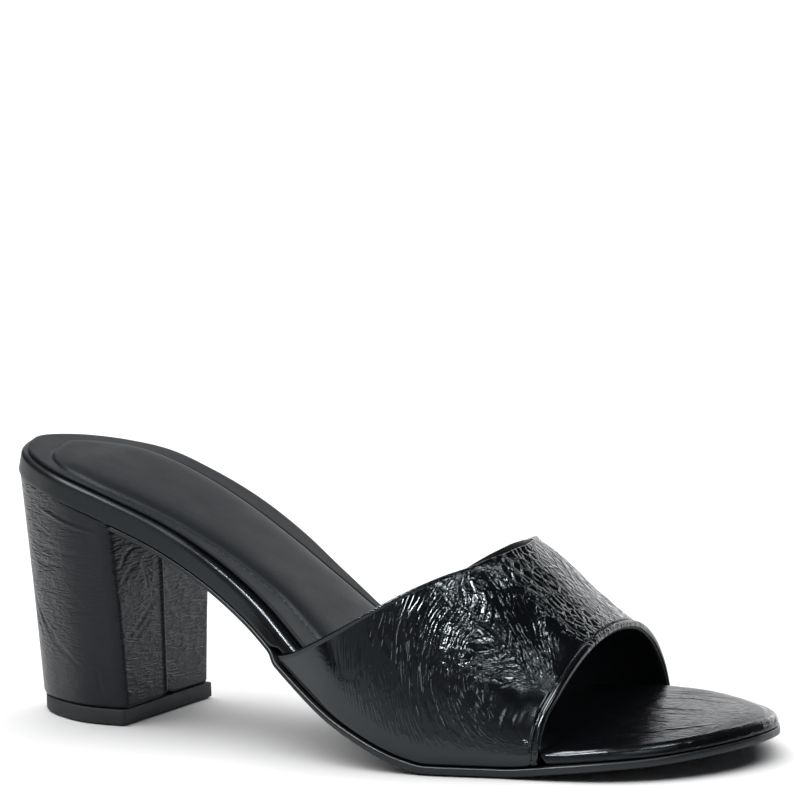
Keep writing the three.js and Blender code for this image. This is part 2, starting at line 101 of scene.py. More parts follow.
class Table:
    """A short table that a smooth curve follows from row to row without swinging past them."""

    def __init__(self, columns: tuple[str, ...], rows: list[tuple[float, ...]]) -> None:
        """Work out the slope of each column at each row.

        Args:
            columns: Names of the columns, of which the first says where each row lies.
            rows: The values, in rising order of the first column.
        """
        self.columns = columns
        self.rows = np.array(rows)
        self.places = self.rows[:, 0]
        rise = np.diff(self.rows, axis=0) / np.diff(self.places)[:, None]
        before = np.vstack([rise[:1], rise])
        after = np.vstack([rise, rise[-1:]])
        same = before * after > 0
        self.slopes = np.where(same, 2 * before * after / np.where(same, before + after, 1), 0)

    def at(self, name: str, place: Array) -> Array:
        """Follow a column to some places.

        Args:
            name: The column.
            place: Values of the first column.

        Returns:
            The column's value at each place.
        """
        column = self.columns.index(name)
        here = np.clip(place, self.places[0], self.places[-1])
        after = np.clip(np.searchsorted(self.places, here), 1, len(self.places) - 1)
        run = self.places[after] - self.places[after - 1]
        share = (here - self.places[after - 1]) / run
        start = self.rows[after - 1, column]
        rise = self.rows[after, column] - start
        leaving = self.slopes[after - 1, column] * run
        arriving = self.slopes[after, column] * run
        curve = share**2 * (3 * rise - 2 * leaving - arriving) + share**3 * (leaving + arriving - 2 * rise)
        return start + share * leaving + curve


PLAN = Table(
    ("along", "lateral", "medial"),
    [
        (0, 0, 0), (0.012, -0.118, 0.125), (0.035, -0.212, 0.225), (0.07, -0.29, 0.305),
        (0.123, -0.358, 0.352), (0.193, -0.356, 0.35), (0.263, -0.325, 0.341), (0.333, -0.314, 0.319),
        (0.404, -0.34, 0.278), (0.474, -0.408, 0.266), (0.544, -0.485, 0.325), (0.58, -0.511, 0.366),
        (0.614, -0.525, 0.41), (0.642, -0.523, 0.445), (0.67, -0.515, 0.475), (0.712, -0.487, 0.51),
        (0.755, -0.457, 0.535), (0.811, -0.428, 0.55), (0.868, -0.39, 0.535), (0.917, -0.315, 0.455),
        (0.957, -0.205, 0.343), (0.986, -0.07, 0.22), (1, 0.1, 0.1),
    ],
)

PROFILE = Table(
    ("along", "rise", "spring", "thinned"),
    [
        (0, 1, 0, 0), (0.035, 0.972, 0, 0), (0.07, 0.945, 0, 0), (0.123, 0.905, 0, 0),
        (0.193, 0.827, 0, 0), (0.263, 0.727, 0, 0.01), (0.333, 0.602, 0, 0.03), (0.404, 0.456, 0, 0.08),
        (0.474, 0.298, 0, 0.2), (0.544, 0.16, 0, 0.5), (0.58, 0.101, 0, 0.7), (0.614, 0.052, 0, 0.86),
        (0.642, 0.019, 0, 0.95), (0.67, 0, 0, 1), (0.755, 0, 0, 1), (0.811, 0, 0.2, 1),
        (0.868, 0, 0.42, 1), (0.917, 0, 0.58, 1), (0.957, 0, 0.77, 1), (1, 0, 1, 1),
    ],
)

LIP = Table(
    ("along", "out"),
    [(0.2, 0), (0.44, 0.1), (0.465, 1.45), (0.8, 1.45), (0.86, 1), (0.93, 0.5), (1, 0)],
)

INSTEP = Table(
    ("along", "crest", "shift", "breadth"),
    [
        (0.42, 1.5, 0.02, 0.46), (0.5, 1.36, 0.03, 0.46), (0.57, 1.24, 0.035, 0.45),
        (0.64, 1.11, 0.04, 0.42), (0.694, 0.99, 0.045, 0.38), (0.75, 0.74, 0.075, 0.37),
        (0.804, 0.52, 0.105, 0.36), (0.86, 0.38, 0.11, 0.34),
    ],
)

EDGES = Table(
    ("around", "topline", "opening"),
    [
        (0, 0.446, 0.8), (0.03, 0.478, 0.8), (0.11, 0.544, 0.8), (0.18, 0.59, 0.802),
        (0.29, 0.647, 0.802), (0.345, 0.672, 0.802), (0.41, 0.69, 0.803), (0.48, 0.696, 0.804),
        (0.55, 0.691, 0.804), (0.65, 0.66, 0.8), (0.75, 0.612, 0.795), (0.86, 0.547, 0.791),
        (0.94, 0.497, 0.79), (1, 0.455, 0.79),
    ],
)

TOE_PAD = Table(
    ("x", "raised"),
    [(150, 5.6), (182, 5.3), (190, 4.5), (200, 3.2), (210, 2.2), (220, 1.1), (226, 0)],
)

SEWN = Table(
    ("way", "lateral", "medial"),
    [
        (0, 0, 0), (0.03, -2.3, 2.4), (0.06, -4.6, 4.6), (0.114, -8.8, 7.8), (0.19, -14.6, 12.2),
        (0.275, -20.2, 16.2), (0.35, -23.6, 18.2), (0.44, -24.6, 18.8), (0.53, -22.8, 18.0),
        (0.61, -20.2, 16.8), (0.7, -17.6, 15.4), (0.765, -17.0, 14.6), (0.82, -19.6, 14.8),
        (0.88, -25.0, 17.0), (0.94, -31.0, 21.0), (1, -36.0, 27.0),
    ],
)


@dataclass(frozen=True)
class ShoeForm:
    """The lines that all the pieces share: plan, side view, layers and last."""

    length: float = 228.0
    ball_width: float = 80.0
    heel_rise: float = 71.1
    toe_spring: float = 5.9
    instep: float = 50.0
    clearance: float = 0.3
    seat_board: float = 6.3
    tread_board: float = 3.3
    shank_sole: float = 1.2
    tread_sole: float = 2.1
    wall: float = 1.6
    plan_steps: int = 24
    overrun: tuple[float, float] = (-12.0, 16.0)
    station_step: float = 0.25

    def board(self, x: Array) -> Array:
        """Thickness of the footbed at some places along the shoe."""
        return blend(self.seat_board, self.tread_board, PROFILE.at("thinned", x / self.length))

    def sole(self, x: Array) -> Array:
        """Thickness of the outsole at some places along the shoe."""
        return blend(self.shank_sole, self.tread_sole, PROFILE.at("thinned", x / self.length))

    def sole_top(self, x: Array) -> Array:
        """Depth of the outsole's upper face under the footbed's."""
        return self.board(x) + self.clearance

    def sole_bottom(self, x: Array) -> Array:
        """Depth of the outsole's tread under the footbed's upper face."""
        return self.sole_top(x) + self.sole(x)

    def margin_top(self, x: Array) -> Array:
        """Depth of the upper face of the upper's turned-in margins."""
        return self.sole_top(x) - self.clearance - self.wall

    def height(self, x: Array) -> Array:
        """Height of the footbed over the floor.

        Args:
            x: Places along the shoe.

        Returns:
            The height at each of them.
        """
        tread = self.tread_sole + self.clearance + self.tread_board
        rise = self.heel_rise * PROFILE.at("rise", x / self.length)
        return tread + rise + self.toe_spring * PROFILE.at("spring", x / self.length)

    def normal(self, x: Array) -> tuple[Array, Array]:
        """Forward and upward share of the direction square to the footbed, in side view.

        Args:
            x: Places along the shoe.

        Returns:
            The two shares at each of them.
        """
        slope = (self.height(x + 1) - self.height(x - 1)) / 2
        size = np.hypot(slope, 1)
        return -slope / size, 1 / size

    def sink(self, plan: Array, depth: Array | float) -> Array:
        """Set places of the plan at a depth under the footbed, square to it.

        Args:
            plan: Places, with x and y in the last axis.
            depth: Depth under the upper face; a negative one lies over it.

        Returns:
            The points, with x, y and z in the last axis.
        """
        forward, upward = self.normal(plan[..., 0])
        x = plan[..., 0] - forward * depth
        z = self.height(plan[..., 0]) - upward * depth
        return np.stack([x, plan[..., 1], z], axis=-1)

    def layer(self, depth_at: Depth) -> tuple[Array, Array, Array]:
        """Stations along the shoe, with the place and the height of a layer square under each.

        Args:
            depth_at: Depth of the layer under the footbed along the shoe.

        Returns:
            The stations, the places that the layer has over the floor, and its heights there.
        """
        behind, ahead = self.overrun
        stations = np.arange(behind, self.length + ahead, self.station_step)
        forward, upward = self.normal(stations)
        depth = depth_at(stations)
        return stations, stations - forward * depth, self.height(stations) - upward * depth

    def layer_height(self, x: Array, depth_at: Depth) -> Array:
        """Height of a layer straight over some places on the floor."""
        _, place, height = self.layer(depth_at)
        return np.interp(x, place, height)

    def station_over(self, x: Array, depth_at: Depth) -> Array:
        """Station whose layer lies straight over a place on the floor."""
        stations, place, _ = self.layer(depth_at)
        return np.interp(x, place, stations)

    def plan_line(self) -> Array:
        """The closed outline of the footbed, from the back round the lateral side to the toe and home.

        Returns:
            The points, with x and y in the last axis.
        """
        along = PLAN.places * self.length
        lateral = np.column_stack([along, PLAN.rows[:, 1] * self.ball_width])
        medial = np.column_stack([along, PLAN.rows[:, 2] * self.ball_width])
        corners = np.vstack([lateral, medial[-2:0:-1]])
        share = np.arange(self.plan_steps)[None, :] / self.plan_steps
        before, start, end, after = (np.roll(corners, shift, axis=0) for shift in (1, 0, -1, -2))
        pairs = ((before, start), (start, end), (end, after))
        first, middle, last = (np.sqrt(np.linalg.norm(b - a, axis=1))[:, None] for a, b in pairs)
        # The tangents take the distances between the corners into account, so that the curve doesn't loop.
        leaving = (start - before) / first - (end - before) / (first + middle) + (end - start) / middle
        arriving = (end - start) / middle - (after - start) / (middle + last) + (after - end) / last
        leaving, arriving = leaving * middle, arriving * middle
        steps = share[:, :, None]
        square = (3 * (end - start) - 2 * leaving - arriving)[:, None]
        cube = (2 * (start - end) + leaving + arriving)[:, None]
        curve = start[:, None] + leaving[:, None] * steps + square * steps**2 + cube * steps**3
        return curve.reshape(-1, 2)

    def sides(self, inset: Inset) -> dict[Side, Array]:
        """The two sides of the outline moved in by an inset, each from the back to the toe.

        Args:
            inset: Distance in plan, or a function that gives it along the shoe.

        Returns:
            The points of each side.
        """
        line = self.plan_line()
        run = np.roll(line, -1, axis=0) - np.roll(line, 1, axis=0)
        run /= np.linalg.norm(run, axis=1)[:, None]
        inward = np.column_stack([-run[:, 1], run[:, 0]])
        amount = inset(line[:, 0]) if callable(inset) else np.full(len(line), float(inset))
        moved = line + inward * amount[:, None]
        half = len(moved) // 2
        lateral = moved[: half + 1].copy()
        medial = np.vstack([moved[:1], moved[: half - 1 : -1]])
        for side in (lateral, medial):
            side[:, 0] = np.maximum.accumulate(side[:, 0])
        return {Side.LATERAL: lateral, Side.MEDIAL: medial}

    def wall_foot(self, side: Side, x: Array) -> Array:
        """Where the upper's inner face stands beside the footbed.

        Args:
            side: The side of the shoe.
            x: Places along it.

        Returns:
            Its y at each of them.
        """
        line = self.sides(-self.clearance)[side]
        here = np.interp(x, line[:, 0], line[:, 1])
        over = np.interp(self.station_over(x, self.margin_top), line[:, 0], line[:, 1])
        return np.minimum(here, over) if side is Side.LATERAL else np.maximum(here, over)

    def last_point(self, along: Array, around: Array) -> Array:
        """Points of the upper's inner face.

        Args:
            along: Places along the shoe, as shares of its length.
            around: Places around the foot, from the lateral foot at 0 over the crest to the medial one at 1.

        Returns:
            The points, with x, y and z in the last axis.
        """
        x = along * self.length
        turn = around * np.pi
        crest = self.ball_width * INSTEP.at("shift", along)
        breadth = self.ball_width * INSTEP.at("breadth", along)
        out = np.cos(turn)
        lateral = crest - self.wall_foot(Side.LATERAL, x)
        medial = self.wall_foot(Side.MEDIAL, x) - crest
        reach = np.where(around < 0.5, lateral, medial)
        y = crest - breadth * (out - out**3) - reach * out**3
        height = self.instep * INSTEP.at("crest", along) * np.sin(turn)
        return np.stack([x, y, self.layer_height(x, self.margin_top) + height], axis=-1)

    def last_normal(self, along: Array, around: Array) -> Array:
        """Outward directions of the last at some of its points.

        Args:
            along: Places along the shoe, as shares of its length.
            around: Places around the foot.

        Returns:
            The directions, each of length 1.
        """
        reach = 1 / self.length
        forward = self.last_point(along + reach, around) - self.last_point(along - reach, around)
        more = self.last_point(along, np.clip(around + reach, 0, 1))
        less = self.last_point(along, np.clip(around - reach, 0, 1))
        outward = np.cross(forward, more - less)
        return outward / np.linalg.norm(outward, axis=-1)[..., None]


FORM = ShoeForm()


def rings_of(inset: Inset, shares: Array, keep: Keep = Keep.ALL, cut: float = 0, corner: float = 0) -> Array:
    """Points of an outline at shares of the way from its rear to its front end.

    Args:
        inset: Distance in from the footbed's outline.
        shares: Rising shares of the way.
        keep: The part that stays, where the outline is cut off square.
        cut: Place of that cut.
        corner: Radius of its corners.

    Returns:
        The lateral points from the rear to the front, and then the medial ones home.
    """
    lines = FORM.sides(inset)
    rear = cut if keep is Keep.FRONT else min(line[0, 0] for line in lines.values())
    front = cut if keep is Keep.REAR else max(line[-1, 0] for line in lines.values())
    x = blend(rear, front, shares)
    found = {}
    for side, line in lines.items():
        y = np.interp(x, line[:, 0], line[:, 1])
        if corner and keep is not Keep.ALL:
            near = np.clip(1 - np.abs(x - cut) / corner, 0, 1)
            y = y - side.value * corner * (1 - np.sqrt(1 - near**2))
        found[side] = np.column_stack([x, y])
    lateral, medial = found[Side.LATERAL], found[Side.MEDIAL]
    ends = [i for i, open_end in ((0, keep is not Keep.FRONT), (-1, keep is not Keep.REAR)) if open_end]
    for i in ends:
        lateral[i] = medial[i] = (lateral[i] + medial[i]) / 2
    return np.vstack([lateral, medial[::-1]])


def midline_of(ring: Array) -> Array:
    """The line half way between the partners of a ring's two sides, in the ring's own order."""
    return (ring + ring[::-1]) / 2


def cosine_shares(count: int) -> Array:
    """Shares of a way that lie closer together near both of its ends."""
    return (1 - np.cos(np.linspace(0, np.pi, count))) / 2


def travelled(line: Array) -> Array:
    """Distance along a line at each of its points."""
    return np.concatenate([[0], np.cumsum(np.linalg.norm(np.diff(line, axis=0), axis=1))])


def quarter_turn(radius: float, rows: int) -> list[tuple[float, float]]:
    """Inset and drop of the rows that round an edge off, from its flat face to its side."""
    turns = np.linspace(0, np.pi / 2, rows)
    return [(radius * (1 - math.sin(turn)), radius * (1 - math.cos(turn))) for turn in turns]


def linked(name: str, data: bpy.types.ID) -> bpy.types.Object:
    """Make an object of a mesh, a light or a camera, and link it to the scene.

    Args:
        name: Its name.
        data: The mesh, light or camera.

    Returns:
        The object.
    """
    thing = bpy.data.objects.new(name, data)
    bpy.context.scene.collection.objects.link(thing)
    return thing


def mesh_object(name: str, mesh: Mesh, material: Material) -> bpy.types.Object:
    """Make an object of a mesh and its finish.

    Args:
        name: Its name.
        mesh: The mesh, which is used up.
        material: The finish.

    Returns:
        The object.
    """
    data = bpy.data.meshes.new(name)
    mesh.to_mesh(data)
    mesh.free()
    data.materials.append(material)
    return linked(name, data)


@dataclass(frozen=True)
class Piece:
    """A finished piece: the mesh, where it belongs and what it is made of."""

    name: str
    slot: str
    replaces: tuple[str, ...] = ()

    def place(self, mesh: Mesh, material: Material) -> bpy.types.Object:
        """Make the piece's object, ride it on the shoe and give it its finish.

        Args:
            mesh: The piece's mesh in millimetres from the back of the seat.
            material: Its finish.

        Returns:
            The object, with its place in its mesh.
        """
        bmesh.ops.translate(mesh, verts=mesh.verts, vec=Vector(-MIDDLE))
        bmesh.ops.scale(mesh, verts=mesh.verts, vec=Vector((MILLIMETRE,) * 3))
        piece = mesh_object(self.name, mesh, material)
        faces = piece.data.polygons
        faces.foreach_set("use_smooth", np.ones(len(faces), dtype=bool))
        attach(piece, "root")
        if self.replaces:
            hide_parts(*self.replaces)
        log.info("%s: %d faces", self.name, len(faces))
        return piece


def draped_grid(
    points: Array, masks: dict[str, Array] | None = None, charts: dict[str, Array] | None = None
) -> Mesh:
    """Lay a grid on rows of points, join what meets and close what is left open.

    Args:
        points: Places in millimetres, as rows by columns by 3.
        masks: Values from 0 to 1 for each point, which the finish reads as attributes.
        charts: Flat places in millimetres for each point, which the finish reads as UV maps.

    Returns:
        The closed mesh, with its faces pointing out.
    """
    rows, columns = points.shape[:2]
    mesh = bmesh.new()
    masks, charts = masks or {}, charts or {}
    maps = {name: mesh.loops.layers.uv.new(name) for name in charts}
    layers = {name: mesh.verts.layers.float.new(name) for name in masks}
    bmesh.ops.create_grid(mesh, x_segments=columns - 1, y_segments=rows - 1, size=1)
    mesh.verts.index_update()
    spots = [
        (round((corner.co.y + 1) / 2 * (rows - 1)), round((corner.co.x + 1) / 2 * (columns - 1)))
        for corner in mesh.verts
    ]
    for name, sheet in maps.items():
        flat = charts[name].tolist()
        for face in mesh.faces:
            for loop in face.loops:
                row, column = spots[loop.vert.index]
                loop[sheet].uv = flat[row][column]
    for corner, (row, column) in zip(mesh.verts, spots):
        for name, layer in layers.items():
            corner[layer] = masks[name][row, column]
        corner.co = points[row, column]
    bmesh.ops.remove_doubles(mesh, verts=mesh.verts, dist=WELD)
    thin = [edge for edge in mesh.edges if edge.calc_length() < WELD]
    bmesh.ops.dissolve_degenerate(mesh, dist=SLIVER, edges=thin)
    open_edges = [edge for edge in mesh.edges if edge.is_boundary]
    bmesh.ops.holes_fill(mesh, edges=open_edges, sides=0)
    bmesh.ops.recalc_face_normals(mesh, faces=mesh.faces)
    return mesh


@dataclass(frozen=True)
class Crease:
    """A soft ridge or trough along a line on a surface, in the surface's own millimetres.

    It keeps a share of its height at its ends, and the film beside it is drawn a little the other way.
    """

    path: Line
    height: float
    width: float
    at_ends: float = 0.25
    shoulder: float = 0.3

    def relief(self, place: Array) -> Array:
        """Height that the crease gives to some places.

        Args:
            place: Flat places on the surface, with two values in the last axis.

        Returns:
            The height, which dies away across the line and towards its two ends.
        """
        ends = np.array(self.path)
        steps = np.linalg.norm(np.diff(ends, axis=0), axis=1)
        total = steps.sum()
        nearest = np.full(place.shape[:-1], np.inf)
        way = np.zeros(place.shape[:-1])
        for start, end, step, before in zip(ends[:-1], ends[1:], steps, np.cumsum(steps) - steps):
            along = np.clip(((place - start) @ (end - start)) / step**2, 0, 1)
            distance = np.linalg.norm(place - start - along[..., None] * (end - start), axis=-1)
            closer = distance < nearest
            nearest = np.where(closer, distance, nearest)
            way = np.where(closer, (before + along * step) / total, way)
        fade = self.at_ends + (1 - self.at_ends) * np.sin(np.pi * way) ** 0.7
        beside = self.shoulder * swell(nearest - 1.7 * self.width, 0.8 * self.width)
        return self.height * fade * (swell(nearest, self.width) - beside)


def creased(place: Array, creases: tuple[Crease, ...]) -> Array:
    """Height that some creases give together to some places."""
    return sum((crease.relief(place) for crease in creases), np.zeros(place.shape[:-1]))


def creases_of(height: float, width: float, *paths: Line) -> tuple[Crease, ...]:
    """Creases of one height and width along some lines."""
    return tuple(Crease(path, height, width) for path in paths)


@dataclass(frozen=True)
class Gloss:
    """What a shader's sockets hold all over a surface."""

    colour: Colour
    roughness: float
    specular: float = 0.5
    tint: Colour = (0.84, 0.94, 1.0)


class Wire:
    """A node's output, which Python's operators carry through Math nodes."""

    def __init__(self, graph: "Graph", socket: bpy.types.NodeSocket) -> None:
        """Hold the socket and the graph that it belongs to."""
        self.graph = graph
        self.socket = socket

    def math(self, operation: str, *values: Value) -> "Wire":
        """Add a Math node for an operation on some values."""
        return self.graph.add("ShaderNodeMath", {"operation": operation}, dict(enumerate(values)))

    def __add__(self, other: Value) -> "Wire":
        """Sum."""
        return self.math("ADD", self, other)

    def __sub__(self, other: Value) -> "Wire":
        """Difference."""
        return self.math("SUBTRACT", self, other)

    def __rsub__(self, other: Value) -> "Wire":
        """Difference from a number."""
        return self.math("SUBTRACT", other, self)

    def __mul__(self, other: Value) -> "Wire":
        """Product."""
        return self.math("MULTIPLY", self, other)

    def __pow__(self, other: Value) -> "Wire":
        """Power."""
        return self.math("POWER", self, other)

    __radd__ = __add__
    __rmul__ = __mul__

    def eased(self, start: float, end: float) -> "Wire":
        """Rise smoothly from 0 at one value to 1 at another."""
        settings = {"interpolation_type": "SMOOTHSTEP"}
        return self.graph.add("ShaderNodeMapRange", settings, {0: self, 1: start, 2: end, 3: 0.0, 4: 1.0})


class Graph:
    """The nodes of one material."""

    def __init__(self, name: str, gloss: Gloss) -> None:
        """Start a material from its Principled shader.

        Args:
            name: Name of the finish.
            gloss: What the shader's sockets hold all over.
        """
        self.material = bpy.data.materials.new(name)
        self.material.use_nodes = True
        self.tree = self.material.node_tree
        self.shader = self.tree.nodes["Principled BSDF"]
        plain = {
            "Base Color": (*gloss.colour, 1.0),
            "Roughness": gloss.roughness,
            "Specular IOR Level": gloss.specular,
            "Specular Tint": (*gloss.tint, 1.0),
        }
        for socket, value in plain.items():
            self.shader.inputs[socket].default_value = value

    def add(self, kind: str, settings: dict, sockets: dict, output: int | str = 0) -> Wire:
        """Add a node.

        Args:
            kind: Its type.
            settings: Its own settings, which are set first.
            sockets: Values or links of its sockets.
            output: The output that goes on.

        Returns:
            That output.
        """
        node = self.tree.nodes.new(kind)
        for key, value in settings.items():
            setattr(node, key, value)
        for key, value in sockets.items():
            self.feed(node.inputs[key], value)
        return Wire(self, node.outputs[output])

    def feed(self, socket: bpy.types.NodeSocket, value: Value) -> None:
        """Give a socket a value or a link.

        Args:
            socket: The socket.
            value: A number, a colour, a vector or an output.
        """
        if isinstance(value, Wire):
            self.tree.links.new(value.socket, socket)
        else:
            socket.default_value = value

    def vector(self, operation: str, *values: Value) -> Wire:
        """Add a Vector Math node for an operation on some values."""
        return self.add("ShaderNodeVectorMath", {"operation": operation}, dict(enumerate(values)))

    def place(self, scale: tuple[float, float, float] = (1, 1, 1)) -> Wire:
        """Object coordinates in millimetres, stretched by a scale."""
        coordinates = self.add("ShaderNodeTexCoord", {}, {}, "Object")
        return self.vector("MULTIPLY", coordinates, tuple(value / MILLIMETRE for value in scale))

    def chart(self, name: str, turn: float = 0.0) -> Wire:
        """A UV map in millimetres, turned by degrees.

        Args:
            name: Name of the map.
            turn: The turn.

        Returns:
            Its coordinates.
        """
        flat = self.add("ShaderNodeUVMap", {"uv_map": name}, {})
        values = {"Vector": flat, "Rotation": (0, 0, math.radians(turn))}
        return self.add("ShaderNodeMapping", {"vector_type": "POINT"}, values)

    def attribute(self, name: str) -> Wire:
        """A value that the piece's mesh holds."""
        return self.add("ShaderNodeAttribute", {"attribute_name": name}, {}, "Fac")

    def noise(self, place: Wire, scale: float, detail: float = 2.0, output: str = "Fac") -> Wire:
        """Soft noise from 0 to 1."""
        values = {"Vector": place, "Scale": scale, "Detail": detail}
        return self.add("ShaderNodeTexNoise", {}, values, output)

    def warped(self, place: Wire, *waves: tuple[float, float]) -> Wire:
        """Coordinates that waves of noise push about in turn, each with its scale and its reach.

        Args:
            place: The coordinates.
            waves: Scale and reach of each wave.

        Returns:
            The coordinates as they are pushed about.
        """
        for scale, reach in waves:
            push = self.vector("SUBTRACT", self.noise(place, scale, output="Color"), (0.5, 0.5, 0.5))
            place = self.vector("ADD", place, self.vector("MULTIPLY", push, (reach,) * 3))
        return place

    def cells(self, place: Wire, scale: float = 1.0) -> Wire:
        """Distance to the border between cells."""
        values = {"Vector": place, "Scale": scale}
        return self.add("ShaderNodeTexVoronoi", {"feature": "DISTANCE_TO_EDGE"}, values, "Distance")

    def ridges(self, place: Wire, long: float, across: float, foot: float) -> Wire:
        """Rounded ridges between dished cells, from 0 to 1.

        Args:
            place: Coordinates in millimetres.
            long: Length of a cell.
            across: Width of a cell.
            foot: How far the ridges reach into the cells.

        Returns:
            The relief.
        """
        border = self.cells(self.vector("MULTIPLY", place, (1 / long, 1 / across, 1)))
        return (1 - border.eased(0.0, foot)) ** 1.6

    def patches(self, full: float) -> Wire:
        """Soft patches where a relief stands out, which are whole where the noise is over a value."""
        return self.noise(self.place(), 0.3).eased(0.36, full) * 0.65 + 0.35

    def bump(self, height: Wire, depth: float, over: Wire | None = None) -> Wire:
        """A normal from a height from 0 to 1.

        Args:
            height: The relief.
            depth: Its depth in millimetres.
            over: A coarser normal that it lies on.

        Returns:
            The normal.
        """
        values = {"Strength": 1.0, "Distance": depth * MILLIMETRE, "Height": height}
        if over is not None:
            values["Normal"] = over
        return self.add("ShaderNodeBump", {}, values)

    def finish(self, sockets: dict) -> Material:
        """Feed the shader's sockets and return the material.

        Args:
            sockets: Values or links of the shader's sockets.

        Returns:
            The material.
        """
        for key, value in sockets.items():
            self.feed(self.shader.inputs[key], value)
        return self.material


@dataclass(frozen=True)
class Pull:
    """A family of ridges in a patent film: its mask and chart, and its sizes in millimetres."""

    mask: str
    chart: str
    long: float
    across: float
    foot: float
    depth: float


@dataclass(frozen=True)
class PulledPatent:
    """Black patent of the upper: its film is pulled into rays and arcs round the pinch at the opening."""

    name: str = "upper_crinkle"
    gloss: Gloss = Gloss(colour=(0.0022, 0.0025, 0.0033), roughness=0.13, specular=0.46)
    net_turn: float = -17
    grain: float = 0.014
    pulls: tuple[Pull, ...] = (
        Pull("rays", "Fan", long=6.5, across=1.15, foot=0.25, depth=0.09),
        Pull("fibres", "Fan", long=5.0, across=0.8, foot=0.35, depth=0.035),
        Pull("arcs", "Fan", long=1.05, across=2.7, foot=0.3, depth=0.075),
        Pull("net", "Skin", long=2.4, across=2.6, foot=0.2, depth=0.3),
    )

    def material(self) -> Material:
        """Make the material.

        Returns:
            The patent, which reads the masks and charts of the upper.
        """
        graph = Graph(self.name, self.gloss)
        charts = {
            "Fan": graph.warped(graph.chart("Fan"), (0.1, 3.0), (0.45, 0.55)),
            "Skin": graph.warped(graph.chart("Skin", self.net_turn), (0.1, 2.0), (0.42, 0.8)),
        }
        broken = graph.patches(0.58)
        height = 0
        for pull in self.pulls:
            ridges = graph.ridges(charts[pull.chart], pull.long, pull.across, pull.foot)
            height = ridges * graph.attribute(pull.mask) * broken * pull.depth + height
        grain = graph.noise(graph.place(), 1.3)
        normal = graph.bump(height, 1.0, graph.bump(grain, self.grain))
        rough = graph.noise(graph.place(), 0.5, 3.0) * 0.1 + (self.gloss.roughness - 0.05)
        return graph.finish({"Normal": normal, "Roughness": rough})


@dataclass(frozen=True)
class WrappedPatent:
    """Black patent drawn over a board or a block, with fine wrinkles that run one way."""

    name: str
    gloss: Gloss
    across: float
    long: float
    depth: float
    grain: float = 0.016
    sway: float = 4.0

    def material(self) -> Material:
        """Make the material.

        Returns:
            The patent, which reads its piece's chart and masks.
        """
        graph = Graph(self.name, self.gloss)
        skin = graph.warped(graph.chart("Skin"), (0.07, self.sway), (0.4, 0.7))
        ridges = graph.ridges(skin, self.long, self.across, 0.36)
        height = ridges * graph.attribute("crinkle") * graph.patches(0.6)
        grain = graph.noise(graph.place(), 1.7, 3.0)
        normal = graph.bump(height, self.depth, graph.bump(grain, self.grain))
        rough = graph.noise(graph.place(), 0.35, 3.0) * 0.14 + (self.gloss.roughness - 0.07)
        rough = rough + graph.attribute("dull") * 0.22
        return graph.finish({"Normal": normal, "Roughness": rough})


@dataclass(frozen=True)
class Lining:
    """Smooth satin lining with a faint grain."""

    name: str
    gloss: Gloss = Gloss(colour=(0.0072, 0.0082, 0.0105), roughness=0.48, specular=0.16)
    depth: float = 0.02

    def material(self) -> Material:
        """Make the material.

        Returns:
            The lining.
        """
        graph = Graph(self.name, self.gloss)
        pores = graph.cells(graph.warped(graph.place(), (1.2, 0.5)), 1.6).eased(0.0, 0.3)
        wear = graph.noise(graph.place(), 0.12, 4.0)
        rough = wear * 0.16 + (self.gloss.roughness - 0.08)
        return graph.finish({"Normal": graph.bump(pores, self.depth), "Roughness": rough})


@dataclass(frozen=True)
class Thread:
    """Twisted polyester thread."""

    name: str = "sock_thread"
    gloss: Gloss = Gloss(colour=(0.03, 0.032, 0.036), roughness=0.45)

    def material(self) -> Material:
        """Make the material.

        Returns:
            The thread.
        """
        graph = Graph(self.name, self.gloss)
        strands = graph.noise(graph.place(), 6.0, 1.0)
        rough = strands * 0.2 + (self.gloss.roughness - 0.1)
        return graph.finish({"Normal": graph.bump(strands, 0.05), "Roughness": rough})


@dataclass(frozen=True)
class Rubber:
    """Dull moulded rubber with a fine pebble."""

    name: str
    gloss: Gloss
    pebble: float = 0.5
    depth: float = 0.03

    def material(self) -> Material:
        """Make the material.

        Returns:
            The rubber.
        """
        graph = Graph(self.name, self.gloss)
        pebble = graph.noise(graph.place(), 1 / self.pebble, 3.0)
        scuffs = graph.noise(graph.place((0.3, 1.0, 1.0)), 0.3, 4.0)
        rough = scuffs * 0.2 + (self.gloss.roughness - 0.1)
        return graph.finish({"Normal": graph.bump(pebble, self.depth), "Roughness": rough})


@dataclass(frozen=True)
class Floor:
    """Plain white studio floor."""

    name: str = "floor_white"
    gloss: Gloss = Gloss(colour=(0.88, 0.88, 0.88), roughness=1.0, specular=0.0)

    def material(self) -> Material:
        """Make the material.

        Returns:
            The floor's white.
        """
        graph = Graph(self.name, self.gloss)
        shade = graph.noise(graph.place(), 0.004, 1.0) * 0.01 + 0.875
        colour = graph.add("ShaderNodeCombineColor", {}, {0: shade, 1: shade, 2: shade})
        return graph.finish({"Base Color": colour})


